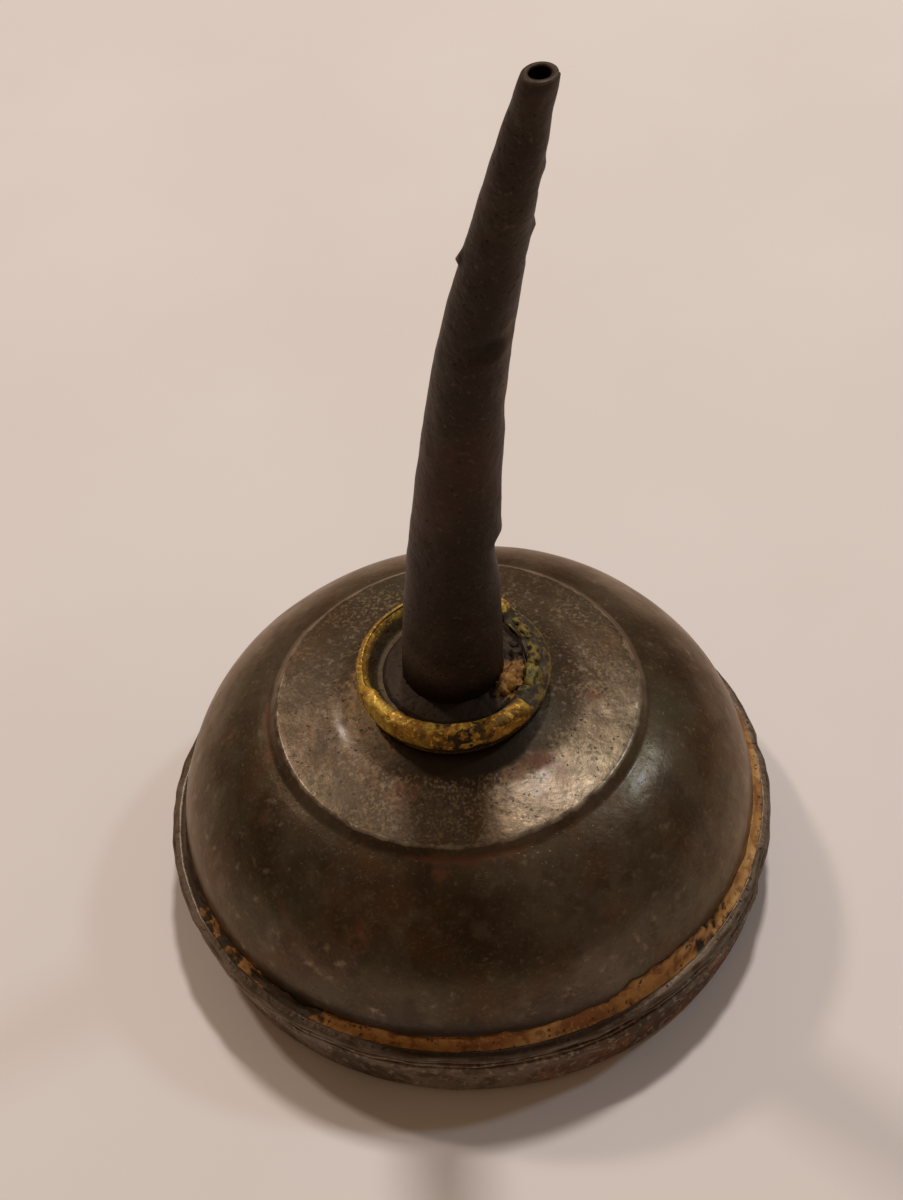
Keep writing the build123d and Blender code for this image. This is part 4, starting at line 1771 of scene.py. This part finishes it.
    def sooty(self, point: Vector) -> float:
        """Old oil and painted shade darken the foot, the mouth and the dent on the front.

        Args:
            point: place on the piece.

        Returns:
            The amount, from 0 to 1.
        """
        foot = ease((self.start + 5 * MM - point.z) / (5 * MM))
        mouth = 0.6 * ease((point.z - self.start - self.run + 1.2 * MM) / MM)
        hollow = max(ease(1.25 - (point - spot).length / reach) for spot, reach in self.hollows)
        return max(0.8 * foot, mouth, 0.95 * hollow)

    def lapped(self, point: Vector) -> float:
        """Painted reflection: a paler grey band along the lap's edge and the strip beside it.

        Args:
            point: place on the piece.

        Returns:
            The amount, from 0 to 1.
        """
        share = (point.z - self.start) / self.run
        angle = bearing(point - self.centre(share))
        return hump(angle, -28, 20) * ease((share - 0.2) / 0.1) * ease((0.95 - share) / 0.3)


@dataclass(frozen=True)
class Lamp:
    """A soft lamp: where it stands from the can, how bright it makes the table, and its colour."""

    name: str
    towards: tuple[float, float, float]
    brightness: float
    colour: Colour
    size: float = 0.10
    distance: float = 1.2

    def build(self) -> None:
        """Adds the lamp, turned towards the can."""
        direction = Vector(self.towards).normalized()
        light = bpy.data.lights.new(self.name, "AREA")
        light.size = self.size
        light.energy = self.brightness * pi**2 * self.distance**2 / direction.z
        light.color = self.colour
        holder = bpy.data.objects.new(self.name, light)
        holder.location = direction * self.distance
        holder.rotation_euler = direction.to_track_quat("Z", "Y").to_euler()
        bpy.context.scene.collection.objects.link(holder)


@dataclass
class Studio:
    """Pale table top, soft lamps, a dim warm room and the camera."""

    tilt: float = 47.5
    roll: float = -6.7
    lens: float = 60.0
    eye: tuple[float, float, float] = (0.6 * MM, -131.1 * MM, 182.7 * MM)
    room: Colour = (0.180, 0.125, 0.080)
    lamps: tuple[Lamp, ...] = (
        Lamp("ceiling_back", (0.13, 0.45, 0.88), 0.395, (1.0, 0.98, 0.96)),
        Lamp("ceiling_left", (-0.42, 0.50, 0.76), 0.165, (1.0, 0.89, 0.80)),
        Lamp("window_right", (0.62, 0.20, 0.75), 0.09, (0.66, 0.84, 1.0)),
    )

    def build(self) -> None:
        """Sets up everything round the can."""
        self.build_table()
        for lamp in self.lamps:
            lamp.build()
        room = bpy.data.worlds.new("dim_room")
        room.use_nodes = True
        room.node_tree.nodes["Background"].inputs["Color"].default_value = (*self.room, 1)
        bpy.context.scene.world = room
        self.build_camera()

    def build_table(self) -> None:
        """A wide, pale, very slightly mottled table top."""
        bm = bmesh.new()
        bmesh.ops.create_grid(bm, x_segments=4, y_segments=4, size=1.5)
        mesh = bpy.data.meshes.new("table_top")
        bm.to_mesh(mesh)
        bm.free()
        table = bpy.data.objects.new("table_top", mesh)
        bpy.context.scene.collection.objects.link(table)
        look = bpy.data.materials.new("table_top")
        look.use_nodes = True
        shader = look.node_tree.nodes["Principled BSDF"]
        w = Wiring(look.node_tree)
        mottle = w.span(w.cloud(14, 4.0), 0.35, 0.7)
        w.feed(shader.inputs["Base Color"], w.mix(mottle, (0.79, 0.700, 0.655), (0.82, 0.735, 0.690)))
        shader.inputs["Roughness"].default_value = 0.6
        shader.inputs["Specular IOR Level"].default_value = 0.15
        mesh.materials.append(look)

    def build_camera(self) -> None:
        """Looks down at the can, a little turned about the line of sight."""
        down, turn = radians(self.tilt), radians(self.roll)
        right = Vector((1, 0, 0))
        drop = Vector((0, -sin(down), -cos(down)))
        ahead = Vector((0, cos(down), -sin(down)))
        across = right * cos(turn) - drop * sin(turn)
        below = right * sin(turn) + drop * cos(turn)
        camera = bpy.data.objects.new("camera", bpy.data.cameras.new("camera"))
        camera.data.lens = self.lens
        camera.data.sensor_width = 36
        camera.data.clip_start = 0.01
        columns = Matrix((across, -below, -ahead)).transposed()
        camera.matrix_world = Matrix.Translation(Vector(self.eye)) @ columns.to_4x4()
        bpy.context.scene.collection.objects.link(camera)
        bpy.context.scene.camera = camera
        bpy.context.scene.view_settings.view_transform = "Standard"


def main() -> None:
    """Builds the studio, the finishes and each sub-assembly, from the floor up."""
    logging.basicConfig(level=logging.INFO, format="%(message)s")
    Studio().build()
    finishes = Finishes.build()
    BottomPan().build(finishes)
    Dome().build(finishes)
    Neck().build(finishes)
    Collar().build(finishes)
    Spout().build(finishes)


if __name__ == "__main__":
    main()
